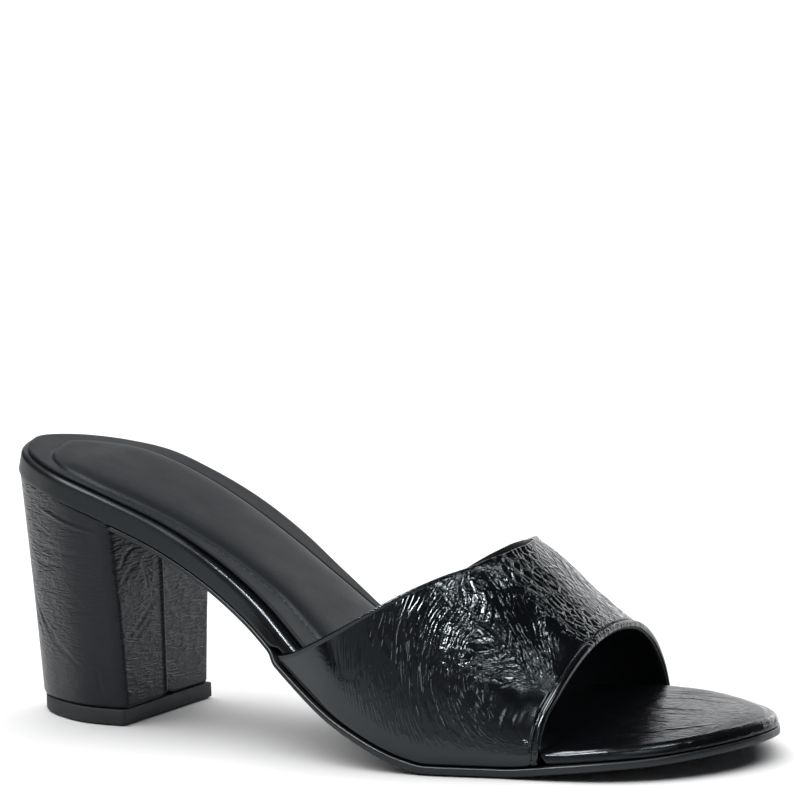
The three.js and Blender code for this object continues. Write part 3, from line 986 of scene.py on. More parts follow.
@dataclass
class Outsole:
    """Thin sheet under the shank, thicker at the tread, with a lip round the upper."""

    breast: float = 43.9
    rounding: float = 0.5
    stations: int = 240
    inward: tuple[float, ...] = (1.0, 0.6, 0.25, 0.05)
    gloss: Gloss = Gloss(colour=(0.012, 0.012, 0.013), roughness=0.36, specular=0.4)
    piece: Piece = Piece("outsole_sheet", "outsole", ("outsole",))

    def lip(self, x: Array) -> Array:
        """How far in the edge lies; the lip lies out past the outline."""
        return -FORM.wall * LIP.at("out", x / FORM.length)

    def build(self) -> Mesh:
        """Lay rings from the tread round the edge to the upper face.

        Returns:
            The sheet.
        """
        rear = float(FORM.station_over(np.array(self.breast), FORM.sole_bottom))
        shares = np.sin(np.linspace(0, np.pi / 2, self.stations))
        rounds = quarter_turn(self.rounding, 4)
        rows = []

        def level(inset: float, depth: Depth, inward: float = 0) -> None:
            """Lay one ring.

            Args:
                inset: How far in it lies from the lip.
                depth: Its depth under the footbed.
                inward: Share of the way that it is drawn in to the middle.
            """
            ring = rings_of(lambda x: self.lip(x) + inset, shares, Keep.FRONT, rear)
            plan = blend(ring, midline_of(ring), inward)
            rows.append(FORM.sink(plan, depth(plan[:, 0])))

        for inward in self.inward:
            level(self.rounding, FORM.sole_bottom, inward)
        for inset, drop in rounds:
            level(inset, lambda x: FORM.sole_bottom(x) - drop)
        for inset, drop in rounds[::-1]:
            level(inset, lambda x: FORM.sole_top(x) + drop)
        for inward in self.inward[::-1]:
            level(self.rounding, FORM.sole_top, inward)
        return draped_grid(np.array(rows))

    def dress(self) -> None:
        """Make the sheet and its satin finish."""
        self.piece.place(self.build(), Rubber("sole_satin", self.gloss).material())


@dataclass
class Footbed:
    """Board under the foot with its patent wrap: a band round the seat, and a padded toe platform."""

    edges: tuple[float, float, float] = (1.5, 2.2, 2.6)
    waist_begins: tuple[float, float] = (50.0, 75.0)
    toe_begins: tuple[float, float] = (180.0, 190.0)
    foot: float = 0.3
    room: tuple[float, float] = (101.5, 182.8)
    room_slope: float = 2.6
    stations: int = 330
    pad_from: float = 140.0
    pad_rise: float = 25.0
    lateral_slope: float = 0.7
    medial_slope: float = 0.14
    gloss: Gloss = Gloss(colour=(0.0024, 0.0027, 0.0034), roughness=0.2, specular=0.33)
    piece: Piece = Piece("footbed_wrap", "footbed_patent", ("midsole",))
    creases: tuple[Crease, ...] = (
        *creases_of(0.16, 0.7, ((188, -24), (199, -17), (209, -13)), ((186, -12), (196, -6), (206, -4))),
        *creases_of(0.14, 0.6, ((187, 2), (197, 7), (208, 10)), ((187, 16), (199, 21), (211, 20))),
        *creases_of(0.16, 0.7, ((189, 27), (201, 29)), ((194, -22), (207, -12), (217, -4))),
        *creases_of(-0.12, 0.9, ((185, -4), (197, 1), (210, 4)), ((186, 22), (198, 25), (209, 24))),
    )

    def under(self, x: Array) -> Array:
        """Depth of the underside, which makes room for the upper's margins.

        Args:
            x: Places along the shoe.

        Returns:
            The depth at each of them.
        """
        rear, front = self.room
        within = np.clip((x - rear) / self.room_slope + 0.5, 0, 1)
        inside = within * (1 - eased(x, front - 0.6, front + 0.6))
        return FORM.board(x) - (FORM.wall + FORM.clearance) * inside

    def edge(self, x: Array) -> Array:
        """Radius of the rounded upper edge, at the seat, in the waist and at the toe.

        Args:
            x: Places along the shoe.

        Returns:
            The radius at each of them.
        """
        seat, waist, toe = self.edges
        wanted = blend(blend(seat, waist, eased(x, *self.waist_begins)), toe, eased(x, *self.toe_begins))
        return np.minimum(wanted, self.under(x) - self.foot - 0.1)

    def pad(self, plan: Array, edges: Array) -> Array:
        """Height of the padding under the toes.

        Args:
            plan: Places on the upper face.
            edges: The place of the outline beside each of them.

        Returns:
            How far the padding raises each place.
        """
        partner = edges[::-1]
        lateral = np.minimum(edges[:, 1], partner[:, 1])
        width = np.abs(partner[:, 1] - edges[:, 1]) + 1e-6
        across = np.clip((plan[:, 1] - lateral) / width, 0, 1)
        low = 1 - np.clip(1 - across / self.lateral_slope, 0, 1) ** 2
        high = 1 - np.clip(1 - (1 - across) / self.medial_slope, 0, 1) ** 2
        begun = eased(plan[:, 0], self.pad_from, self.pad_from + self.pad_rise)
        return TOE_PAD.at("raised", plan[:, 0]) * begun * low * high

    def masks(self, points: Array) -> dict[str, Array]:
        """How wrinkled the wrap is, most at the toe, and how dull, most round the seat.

        Args:
            points: Points of the wrap.

        Returns:
            Values from 0 to 1 for each point.
        """
        toe = eased(points[..., 0], 176, 190)
        near = eased(points[..., 1], -26, -12)
        return {"crinkle": 0.09 + (0.25 + 0.68 * near) * toe, "dull": 1 - eased(points[..., 0], 62, 72)}

    def build(self) -> Mesh:
        """Lay rings from the underside round the edge to the upper face.

        Returns:
            The wrap, with its chart and masks.
        """
        shares = cosine_shares(self.stations)
        rows, charts = [], []

        def level(
            inset: Inset, depth: Depth, girth: float = 0, inward: float = 0, padded: bool = False
        ) -> None:
            """Lay one ring.

            Args:
                inset: How far in it lies from the outline.
                depth: Its depth under the upper face.
                girth: How far up the wrap it lies, for the finish.
                inward: Share of the way that it is drawn in to the middle.
                padded: Whether the padding and the creases raise it.
            """
            ring = rings_of(inset, shares)
            plan = blend(ring, midline_of(ring), inward)
            points = FORM.sink(plan, depth(plan[:, 0]))
            if padded:
                points[:, 2] += self.pad(plan, ring) + creased(plan, self.creases)
            rows.append(points)
            charts.append(np.column_stack([travelled(ring), np.full(len(ring), girth)]))

        for inward in (1.0, 0.5):
            level(self.foot, self.under, inward=inward)
        for inset, drop in quarter_turn(self.foot, 4):
            level(inset, lambda x: self.under(x) - drop)
        # The girths count on in steps that follow the rows' own spacing.
        for i in range(1, 5):
            level(0, lambda x: blend(self.edge(x), self.under(x) - self.foot, 1 - i / 5), 0.8 * i)
        for i, (inset, drop) in enumerate(quarter_turn(1.0, 9)[::-1]):
            level(lambda x: self.edge(x) * inset, lambda x: self.edge(x) * drop, 3.6 + 0.4 * i)
        for i, inward in enumerate(1 - (1 - np.linspace(0, 1, 60)[1:]) ** 1.15):
            level(self.edge, np.zeros_like, 7.3 + 0.5 * i, inward, True)
        points = np.array(rows)
        return draped_grid(points, self.masks(points), {"Skin": np.array(charts)})

    def dress(self) -> None:
        """Make the wrap and its patent."""
        patent = WrappedPatent("footbed_crinkle", self.gloss, across=1.5, long=6.0, depth=0.07)
        self.piece.place(self.build(), patent.material())


@dataclass
class Sock:
    """Padded lining under the foot, with a flat margin and a sewn groove round its padding."""

    seat_inset: float = 1.7
    waist_inset: float = 2.6
    front: float = 150.0
    corner: float = 9.0
    thickness: float = 0.8
    padding: float = 1.6
    pad_slope: float = 2.6
    groove: float = 0.45
    groove_width: float = 0.55
    sewn_from: float = 11.4
    sewn_short: float = 3.0
    edge_rows: Line = ((0.0, 0.0), (0.0, 0.5), (0.1, 0.7), (0.3, 0.8))
    stations: int = 240
    pitch: float = 2.5
    stitch: tuple[float, float, float] = (0.82, 0.2, 0.14)
    sunk: float = 0.12
    piece: Piece = Piece("sock_pad", "sock_lining", ("insole_sock",))
    thread: Piece = Piece("sock_stitches", "sock_lining")

    def shares(self) -> Array:
        """Shares of the way from the back of the sock to its front end."""
        return 1 - np.cos(np.linspace(0, np.pi / 2, self.stations))

    def edge_ring(self, inset: float) -> Array:
        """The sock's edge moved in by a distance.

        Args:
            inset: The distance.

        Returns:
            The ring.
        """

        def across(x: Array) -> Array:
            """Inset of the edge along the shoe."""
            return blend(self.seat_inset, self.waist_inset, eased(x, 45, 90)) + inset

        return rings_of(across, self.shares(), Keep.REAR, self.front - inset, self.corner)

    def sewn_ring(self) -> Array:
        """The stitched line.

        Returns:
            The ring, with as many points as the edge has.
        """
        shares = self.shares()
        x = blend(self.sewn_from, self.front - self.sewn_short, shares)
        sides = [np.column_stack([x, SEWN.at(name, np.sqrt(shares))]) for name in ("lateral", "medial")]
        return np.vstack([sides[0], sides[1][::-1]])

    def lift(self, apart: Array) -> Array:
        """Height over the sock's underside at a signed distance from the stitched line, in it positive."""
        pad = self.padding * (1 - np.exp(-np.clip(apart, 0, None) / self.pad_slope))
        return self.thickness + pad - self.groove * swell(apart, self.groove_width)

    def build(self) -> Mesh:
        """Lay rings from the underside round the edge, over the margin and the padding.

        Returns:
            The sock.
        """
        rows = []
        sewn = self.sewn_ring()
        middle = midline_of(sewn)

        def level(plan: Array, lift: Array | float) -> None:
            """Lay one ring at a height over the sock's underside."""
            rows.append(FORM.sink(plan, -(FORM.clearance + lift)))

        level(middle, 0)
        for inset, lift in self.edge_rows:
            rim = self.edge_ring(inset)
            level(rim, lift)
        gap = np.linalg.norm(sewn - rim, axis=1)
        for share in 1 - (1 - np.linspace(0, 1, 18)[1:]) ** 2:
            level(blend(rim, sewn, share), self.lift(-gap * (1 - share)))
        inner = np.linalg.norm(middle - sewn, axis=1)
        for share in np.linspace(0, 1, 40)[1:] ** 1.7:
            level(blend(sewn, middle, share), self.lift(inner * share))
        return draped_grid(np.array(rows))

    def build_stitches(self) -> Mesh:
        """Set short threads in the groove, end to end.

        Returns:
            The stitches, as one mesh.
        """
        mesh = bmesh.new()
        line = FORM.sink(self.sewn_ring(), -(FORM.clearance + self.thickness - self.groove + self.sunk))
        steps = travelled(line)
        half = len(line) // 2

        def spot_at(way: float) -> Vector:
            """Place on the stitched line at a distance along it."""
            return Vector([float(np.interp(way, steps, line[:, i])) for i in range(3)])

        for way in np.arange(self.pitch / 2, steps[-1], self.pitch):
            # The sock's front edge, under the upper, isn't sewn.
            if steps[half - 1] - 1 < way < steps[half] + 1:
                continue
            here = spot_at(way)
            turn = (spot_at(way + 0.3) - here).to_track_quat("X", "Z").to_matrix().to_4x4()
            place = Matrix.Translation(here) @ turn @ Matrix.Diagonal((*self.stitch, 1))
            bmesh.ops.create_uvsphere(mesh, u_segments=6, v_segments=4, radius=1, matrix=place)
        return mesh

    def dress(self) -> None:
        """Make the sock in its lining leather and sew it."""
        pad = self.piece.place(self.build(), Lining("sock_satin").material())
        self.thread.place(self.build_stitches(), Thread().material())


@dataclass
class Upper:
    """One wide band over the foot, with a folded topline and a bound toe opening.

    Its surface is measured along the shoe, and up from the lateral foot over the crest to the medial foot.
    """

    margin: float = 7.0
    bead_width: float = 2.2
    bead_height: float = 0.5
    binding: float = 1.6
    pucker_pitch: float = 1.25
    pucker: float = 0.256
    seam_depth: float = 0.3
    fold: float = 1.5
    fold_bead: float = 0.34
    edge_share: float = 0.4
    lining: float = 0.55
    girth: float = 150.0
    pinch: tuple[float, float] = (181.5, 27.3)
    around: int = 440
    across: int = 168
    # Columns lie closer together on the outer side and over the crest, which show most.
    spacing: Line = ((0, 0), (0.07, 0.08), (0.62, 0.52), (0.72, 0.6), (1, 1))
    foot_points: int = 7
    shell: Piece = Piece("upper_shell", "upper_patent", ("upper",))
    inside: Piece = Piece("upper_lining", "upper_patent", ("upper",))
    creases: tuple[Crease, ...] = (
        *creases_of(
            0.15,
            0.42,
            ((160.9, 26.6), (163.5, 28.4), (165.7, 31.0), (166.4, 32.9)),
            ((158.9, 24.0), (160.8, 25.4), (163.9, 26.1), (166.4, 28.2), (167.1, 30.8)),
            ((157.0, 22.8), (159.4, 22.8), (162.3, 23.1), (165.9, 25.2), (167.7, 27.5), (170.3, 29.4)),
            ((161.7, 20.7), (165.3, 22.6), (167.6, 25.4), (171.0, 27.3), (172.7, 28.9)),
            ((168.7, 22.1), (171.5, 24.9), (174.5, 26.8)),
            ((164.7, 25.9), (166.8, 28.0), (169.1, 30.8)),
            ((154.9, 26.1), (158.1, 26.6), (159.8, 26.8)),
            ((152.6, 31.7), (155.3, 32.6), (157.4, 32.9)),
        ),
        *creases_of(
            0.17,
            0.45,
            ((157.1, 43.8), (158.9, 40.8), (159.5, 37.3), (159.3, 34.7)),
            ((160.0, 40.8), (160.8, 38.7), (161.2, 35.4)),
            ((165.6, 39.2), (167.0, 35.7), (168.0, 30.8)),
            ((170.5, 39.4), (172.2, 35.4), (174.7, 32.9), (177.3, 31.5)),
            ((168.7, 36.4), (170.3, 32.6), (173.3, 29.1), (175.1, 27.3)),
            ((172.8, 37.8), (175.1, 34.7), (178.8, 31.5)),
            ((165.2, 36.4), (166.0, 33.8)),
            ((170.3, 35.9), (172.3, 33.1), (174.9, 30.3)),
            ((156.9, 41.5), (156.7, 37.8), (154.3, 35.4)),
            ((152.5, 45.9), (155.7, 42.7), (156.9, 40.6)),
        ),
        *creases_of(
            -0.13,
            0.8,
            ((144.4, 29.6), (145.9, 26.3), (146.7, 23.1), (149.2, 19.6), (151.8, 12.6), (156.5, 6.1)),
            ((147.5, 27.7), (148.4, 23.8), (151.4, 20.5), (152.9, 15.8), (154.4, 11.9), (159.8, 5.8)),
            ((150.5, 24.7), (152.0, 21.2), (154.0, 17.7), (155.4, 13.1), (157.7, 8.9), (163.9, 5.1)),
            ((143.5, 24.2), (145.5, 20.7), (146.5, 16.8), (148.5, 13.1), (152.0, 8.2)),
            ((140.6, 25.6), (141.3, 22.6), (143.0, 18.0)),
            ((159.1, 14.5), (159.4, 10.0), (160.7, 7.2)),
            ((161.3, 17.7), (160.7, 13.8), (161.6, 9.8), (163.4, 7.2)),
            ((165.7, 16.5), (164.7, 13.1), (165.4, 9.6)),
            ((172.2, 16.8), (171.7, 12.6), (171.9, 9.6)),
            ((175.3, 17.9), (175.0, 13.5), (175.2, 11.0)),
            ((133.1, 23.5), (133.4, 21.0), (136.4, 18.4)),
            ((136.5, 24.7), (137.2, 21.2), (140.3, 18.9)),
        ),
        *creases_of(
            0.14,
            0.5,
            ((157.5, 56.9), (161.3, 55.7), (164.4, 55.5), (167.4, 57.8), (170.4, 60.4)),
            ((159.4, 61.5), (162.7, 60.4), (166.0, 62.2), (169.0, 64.8), (172.6, 65.7)),
            ((160.6, 67.1), (163.9, 66.4), (166.5, 68.1), (168.8, 70.4)),
            ((164.8, 53.8), (168.2, 55.2), (171.1, 54.8), (173.7, 55.9), (176.8, 59.7)),
            ((168.7, 49.4), (171.3, 50.8), (173.4, 52.4), (176.4, 51.5)),
            ((173.5, 54.3), (175.8, 55.2), (179.0, 57.6)),
            ((161.0, 52.2), (163.8, 52.7), (166.8, 54.8)),
        ),
        Crease(((155.7, 51.0), (161.3, 47.1), (167.8, 45.2), (175.1, 40.1), (179.3, 35.0)), -0.5, 3.6),
        Crease(((154.1, 45.9), (160.0, 38.5), (167.0, 34.7), (173.4, 32.2), (179.0, 29.0)), 0.3, 3.2),
    )

    def rows_across(self, way: Array, around: Array) -> list[Row]:
        """Rows of the outer face from the topline to the toe opening.

        Args:
            way: Distance from edge to edge at each place around the foot.
            around: Those places.

        Returns:
            For each row its share of the way, its height over the inner face and how much it may crease.
        """
        rows = []
        for step in np.linspace(0, 1, 9):
            raised = math.sqrt(1 - (1 - min(step * 1.6, 1.0)) ** 2)
            bead = self.fold_bead * math.sin(step * math.pi)
            rows.append((step * self.fold / way, FORM.wall * blend(self.edge_share, 1, raised) + bead, 0.0))
        reach = self.binding * self.bead_width
        for i in range(1, self.across):
            share = blend(1 - (1 - i / self.across) ** 1.25, i / self.across, 0.35)
            creasing = min(1.0, 12 * share, 26 * (1 - share))
            rows.append((blend(self.fold / way, 1 - reach / way, share), FORM.wall, creasing))
        up = self.girth * around
        over = eased(up, 28, 52) * (1 - eased(up, 112, 132))
        puckers = (0.5 + 0.5 * np.cos(2 * np.pi * up / self.pucker_pitch)) * over
        for distance in np.linspace(reach, 0, 18):
            from_edge = distance / self.bead_width
            bead = math.sin(min(from_edge, 1.0) * math.pi) ** 0.6 if from_edge < 1 else 0.0
            low = 1 - 0.4 * (1 - min(from_edge / 0.35, 1.0)) ** 2
            seam = float(swell(distance - self.bead_width * 1.12, 0.42))
            height = FORM.wall * low + self.bead_height * bead - self.seam_depth * seam
            rows.append((1 - distance / way, height + self.pucker * seam * puckers, 0.0))
        return rows

    def surface_place(self, along: Array, around: Array) -> Array:
        """Places on the surface in millimetres, with the inner half folded over onto the outer one."""
        up = self.girth * np.where(around > 0.5, 1 - around, around)
        return np.stack([along * FORM.length, up], axis=-1)

    def foot_of(self, point: Array, height: float, side: Side) -> list[Array]:
        """The turned-in margin at a foot of the band, from under the footbed round to the outer face.

        Args:
            point: The foot of the inner face.
            height: Height of the outer face over it.
            side: The foot's side of the shoe.

        Returns:
            The points.
        """
        turned = []
        for turn in np.linspace(np.pi / 2, 0, self.foot_points - 2):
            flat = min(height, FORM.wall) if turn > 0 else height
            out = np.array([0, side.value * math.cos(turn) ** 0.5, -(math.sin(turn) ** 0.5)])
            turned.append(point + out * flat)
        tucked = [turned[0] - np.array([0, side.value * self.margin * part, 0]) for part in (1, 0.5)]
        return [*tucked, *turned]

    def section_grid(
        self, rows: list[Row], around: Array, rear: Array, front: Array
    ) -> tuple[Array, Array, Array]:
        """Points of some rows, with the two feet turned in under the footbed.

        Args:
            rows: Share of the way, height and creasing of each row.
            around: Places around the foot.
            rear: Topline at each place, as a share of the length.
            front: Toe opening at each place, as a share of the length.

        Returns:
            The points, their places along the shoe and those around it, as rows by columns.
        """
        found, lengthwise = [], []
        for share, height, creasing in rows:
            along = blend(rear, front, share)
            point = FORM.last_point(along, around)
            height = np.broadcast_to(np.asarray(height, dtype=float), around.shape)
            if creasing:
                height = height + creasing * creased(self.surface_place(along, around), self.creases)
            body = point + FORM.last_normal(along, around) * height[:, None]
            lateral = self.foot_of(point[0], height[0], Side.LATERAL)
            medial = self.foot_of(point[-1], height[-1], Side.MEDIAL)
            found.append(np.vstack([lateral, body[1:-1], medial[::-1]]))
            lengthwise.append(np.pad(along[1:-1], self.foot_points, constant_values=(along[0], along[-1])))
        wide = np.pad(around[1:-1], self.foot_points, constant_values=(0, 1))
        lengthwise = np.array(lengthwise)
        return np.array(found), lengthwise, np.broadcast_to(wide, lengthwise.shape)

    def charts(self, along: Array, around: Array) -> dict[str, Array]:
        """Flat places on the surface, plain and fanned out from the pinch at the toe opening.

        Args:
            along: Places along the shoe, as shares of its length.
            around: Places around the foot.

        Returns:
            The two charts in millimetres.
        """
        skin = np.stack([along * FORM.length, self.girth * around], axis=-1)
        folded = self.surface_place(along, around)
        back, up = self.pinch[0] - folded[..., 0], folded[..., 1] - self.pinch[1]
        turn = np.arctan2(up, back) * 16 + np.where(around > 0.5, 200.0, 0.0)
        return {"Skin": skin, "Fan": np.stack([np.hypot(back, up), turn], axis=-1)}

    def masks(self, along: Array, around: Array) -> dict[str, Array]:
        """How strongly the film is pulled into rays, arcs and a net at each place.

        Args:
            along: Places along the shoe, as shares of its length.
            around: Places around the foot.

        Returns:
            Values from 0 to 1 for each pull.
        """
        folded = self.surface_place(along, around)
        up = folded[..., 1]
        back = self.pinch[0] - folded[..., 0]
        reach = np.hypot(back, up - self.pinch[1])
        turn = np.degrees(np.arctan2(up - self.pinch[1], back))
        # Turns are in degrees and reaches in millimetres, both from the pinch.
        edges = eased(reach, 0, 2.5)
        rays = eased(turn, -26, -6) * (1 - eased(turn, 62, 84)) * (1 - eased(reach, 25, 36)) * edges
        fibres = eased(turn, 8, 24) * (1 - eased(turn, 40, 58)) * (1 - eased(reach, 30, 36)) * edges
        arcs = (1 - eased(turn, -6, 40)) * eased(reach, 12, 28) * (1 - eased(reach, 46, 66))
        arcs *= eased(up, 1.5, 6)
        net = eased(up, 46, 56) * (1 - 0.3 * eased(up, 66, 75))
        net = np.maximum(net, 0.4 * eased(reach, 24, 32) * eased(turn, 10, 25) * (1 - eased(reach, 36, 50)))
        return {"rays": rays, "fibres": fibres, "arcs": arcs, "net": net}

    def build(self) -> tuple[Mesh, Mesh]:
        """Lay the shell and the lining inside it.

        Returns:
            The two meshes.
        """
        around = np.interp(np.linspace(0, 1, self.around), *np.array(self.spacing).T)
        rear = EDGES.at("topline", around)
        front = EDGES.at("opening", around)
        span = FORM.last_point(front, around) - FORM.last_point(rear, around)
        way = np.linalg.norm(span, axis=1)
        outside = self.rows_across(way, around)
        back = [(blend(0.995, 0.005, share), self.lining, 0.0) for share in np.linspace(0, 1, 12)]
        points, along, wide = self.section_grid([*outside, *back, outside[0]], around, rear, front)
        shell = draped_grid(points, self.masks(along, wide), self.charts(along, wide))
        coarse = slice(None, None, 3)
        few = [values[coarse] for values in (around, rear, front)]
        thin = [(blend(0.006, 0.994, share), self.lining - 0.05, 0.0) for share in np.linspace(0, 1, 24)]
        home = [(share, 0.0, 0.0) for share, _, _ in thin[::-1]]
        lining = draped_grid(self.section_grid([*thin, *home, thin[0]], *few)[0])
        return shell, lining

    def dress(self) -> None:
        """Make the shell in patent and its lining."""
        shell, lining = self.build()
        self.shell.place(shell, PulledPatent().material())
        self.inside.place(lining, Lining("upper_lining_satin").material())


@dataclass
class Heel:
    """Block heel in its patent cover, and the rubber top lift under it.

    The cover's surface is measured across from the outer front corner, along the front face when positive
    and round the outer side when negative, and up from the floor.
    """

    breast: float = 42.8
    base_length: float = 39.0
    base_width: float = 44.3
    inset: float = 0.7
    corner: float = 2.6
    lift_corner: float = 0.7
    waist: float = 0.5
    seam_step: float = 0.8
    seam_shift: float = -1.0
    lift: float = 4.2
    bulge: tuple[float, float, float] = (2.1, 0.5, -0.7)
    lift_rows: Line = ((0, 0.3), (0.08, 0.42), (0.25, 0.5), (4.0, 0.5), (4.14, 0.44), (4.2, 0.3))
    around: int = 300
    crowding: float = 0.12
    beside_seam: tuple[float, ...] = (0.15, 0.3, 0.45, 0.7, 1.0)
    down: int = 130
    gloss: Gloss = Gloss(colour=(0.0145, 0.0155, 0.018), roughness=0.34, specular=0.17)
    rubber: Gloss = Gloss(colour=(0.028, 0.029, 0.031), roughness=0.7, specular=0.3)
    cover: Piece = Piece("heel_cover", "heel_patent", ("heel_block",))
    tread: Piece = Piece("top_lift_rubber", "top_lift", ("top_lift",))
    creases: tuple[Crease, ...] = (
        *creases_of(
            -0.16,
            0.7,
            ((-36, 34), (-30, 27), (-22, 21), (-12, 15)),
            ((-34, 31), (-27, 23), (-19, 18)),
            ((-38, 30), (-31, 22)),
            ((-7, 15), (-6, 8)),
            ((-33, 50), (-22, 48.5), (-8, 48)),
            ((-34, 45), (-24, 44), (-14, 44.5)),
            ((-31, 55), (-20, 52.5)),
        ),
        Crease(((-26, 60.5), (-17, 58.3), (-9, 56.2), (-2, 54.8)), 0.35, 0.55),
        *creases_of(
            -0.2,
            0.65,
            ((3, 24), (9, 26.5), (15, 30.5), (20, 33.5)),
            ((3, 21.5), (10, 24.5), (17, 28.5)),
            ((4, 44), (7, 47.5), (12, 49.5), (18, 49)),
            ((4, 40), (9, 43.5), (14, 45)),
            ((25, 45), (31, 43.5), (38, 44)),
            ((24.5, 41), (32, 40)),
            ((25, 30), (33, 29), (42, 30)),
            ((24.5, 26), (34, 26.5), (42, 25)),
            ((26, 22), (36, 20.5)),
        ),
        *creases_of(-0.08, 0.65, ((16, 46), (18, 40), (18.5, 34)), ((14.5, 46), (16, 41), (16.5, 36))),
    )

    def seat_ring(self, corner: float) -> Array:
        """The heel's plan at the seat, closed, from its front face round the outer side.

        Args:
            corner: Radius of its two front corners.

        Returns:
            The points, closer together at the seam and at the corners.
        """
        shares = cosine_shares(240)
        ring = rings_of(self.inset, shares, Keep.REAR, self.breast, corner)
        lateral, medial = (half[::-1] for half in np.split(ring, 2))
        middle = np.array([[self.breast, self.seam_shift]])
        line = np.vstack([middle, lateral, medial[1:], middle])
        steps = travelled(line)
        even = np.linspace(0, 1, self.around)
        wanted = (even - self.crowding * np.sin(2 * np.pi * even) / (2 * np.pi)) * steps[-1]
        near = np.array(self.beside_seam)
        wanted = np.sort(np.concatenate([wanted, near, steps[-1] - near]))
        return np.column_stack([np.interp(wanted, steps, line[:, i]) for i in range(2)])

    def ring_at(self, seat: Array, down: float, overhang: float) -> Array:
        """The plan at a share of the way down, grown by an overhang.

        Args:
            seat: The plan at the seat.
            down: The share.
            overhang: The overhang.

        Returns:
            The plan there.
        """
        width = np.ptp(seat[:, 1])
        length = self.breast - self.inset
        hollow = self.waist * math.sin(down * math.pi)
        here_long = blend(length, self.base_length, down) - hollow
        here_wide = blend(width, self.base_width, down) - 2 * hollow
        front = self.breast + overhang
        x = front - (self.breast - seat[:, 0]) * (here_long + 2 * overhang) / length
        return np.column_stack([x, seat[:, 1] * (here_wide + 2 * overhang) / width])

    def across(self, ring: Array) -> Array:
        """Distance along a ring from the outer front corner.

        Args:
            ring: A plan of the heel.

        Returns:
            The distance of each of its points.
        """
        steps = travelled(ring)
        # The outer front corner lies farthest to the front and out.
        corner = steps[np.argmax(ring[:, 0] * 0.7 - ring[:, 1])]
        q = corner - steps
        back_half = steps > (steps[-1] + corner) / 2 + 20
        return np.where(back_half, q + steps[-1], q)

    def rounded_back(self, ring: Array, down: float) -> Array:
        """The plan with its back drawn out, most of all half way down.

        Args:
            ring: A plan of the heel.
            down: Its share of the way down.

        Returns:
            The fuller plan.
        """
        least, middle, foot = self.bulge
        amount = least + middle * math.sin(down * math.pi) + foot * down
        return ring - np.outer((1 - eased(ring[:, 0], 0, 30)) * amount, (1, 0))

    def overlap(self, ring: Array) -> Array:
        """Share of the seam's step at each place: the outer end lies over the other, with a soft lip.

        Args:
            ring: A plan of the heel.

        Returns:
            The share for each of its points.
        """
        face = eased(ring[:, 0], self.breast - self.corner, self.breast)
        over = 1 - eased(ring[:, 1], self.seam_shift - 0.1, self.seam_shift + 0.35)
        return face * (over + 0.6 * swell(ring[:, 1] - self.seam_shift + 0.9, 0.7))

    def build_cover(self) -> Mesh:
        """Lay rings from the lift up to the seat.

        Returns:
            The cover, with its chart and mask.
        """
        base = self.lift + FORM.clearance
        seat = self.seat_ring(self.corner)
        rows, charts, masks = [], [], []
        for down in np.linspace(1, 0, self.down):
            ring = self.rounded_back(self.ring_at(seat, float(down), 0), float(down))
            q = self.across(ring)
            face = eased(ring[:, 0], self.breast - self.corner, self.breast)
            top = FORM.layer_height(ring[:, 0], lambda x: FORM.board(x) + FORM.clearance)
            # The cover bulges over the lift where its overlap ends.
            low = base + 1.1 * swell(q - 21, 2.6) * face
            place = np.column_stack([q, blend(top, low, down)])
            run = np.roll(ring, -1, axis=0) - np.roll(ring, 1, axis=0)
            run /= np.maximum(np.linalg.norm(run, axis=1), 1e-9)[:, None]
            outward = np.column_stack([run[:, 1], -run[:, 0]])
            outward *= np.sign(np.sum(outward * (ring - ring.mean(axis=0)), axis=1))[:, None]
            # The creases fade out just over the lift, where the cover's edge is tucked in.
            near_lift = min(1.0, 12 * (1 - down))
            tucked = 0.35 * (1 - min(1.0, (1 - down) * 60)) ** 2
            relief = creased(place, self.creases) * near_lift - tucked
            plan = ring + outward * relief[:, None]
            plan[:, 0] += self.seam_step * self.overlap(ring)
            rows.append(np.column_stack([plan, place[:, 1]]))
            charts.append(place)
            outer = 0.35 + 0.65 * eased(-q, 8, 26) * eased(place[:, 1], 14, 30)
            front = 0.75 + 0.25 * eased(place[:, 1], 30, 42)
            masks.append(np.where(q > 1, front, outer) * near_lift)
        return draped_grid(np.array(rows), {"crinkle": np.array(masks)}, {"Skin": np.array(charts)})

    def build_lift(self) -> Mesh:
        """Lay rings from the tread up, with its edges just broken.

        Returns:
            The lift.
        """
        seat = self.seat_ring(self.lift_corner)
        rows = []
        for z, overhang in self.lift_rows:
            ring = self.ring_at(seat, 1.0, overhang)
            rows.append(np.column_stack([ring, np.full(len(ring), z)]))
        return draped_grid(np.array(rows))

    def dress(self) -> None:
        """Make the cover and the lift with their finishes."""
        patent = WrappedPatent("heel_crinkle", self.gloss, across=1.05, long=6.5, depth=0.18, sway=2.5)
        self.cover.place(self.build_cover(), patent.material())
        self.tread.place(self.build_lift(), Rubber("lift_rubber", self.rubber).material())


def direction(azimuth: float, elevation: float) -> Vector:
    """Direction in degrees from +Y towards +X, and in degrees over the horizon."""
    a, e = math.radians(azimuth), math.radians(elevation)
    return Vector((math.sin(a) * math.cos(e), math.cos(a) * math.cos(e), math.sin(e)))


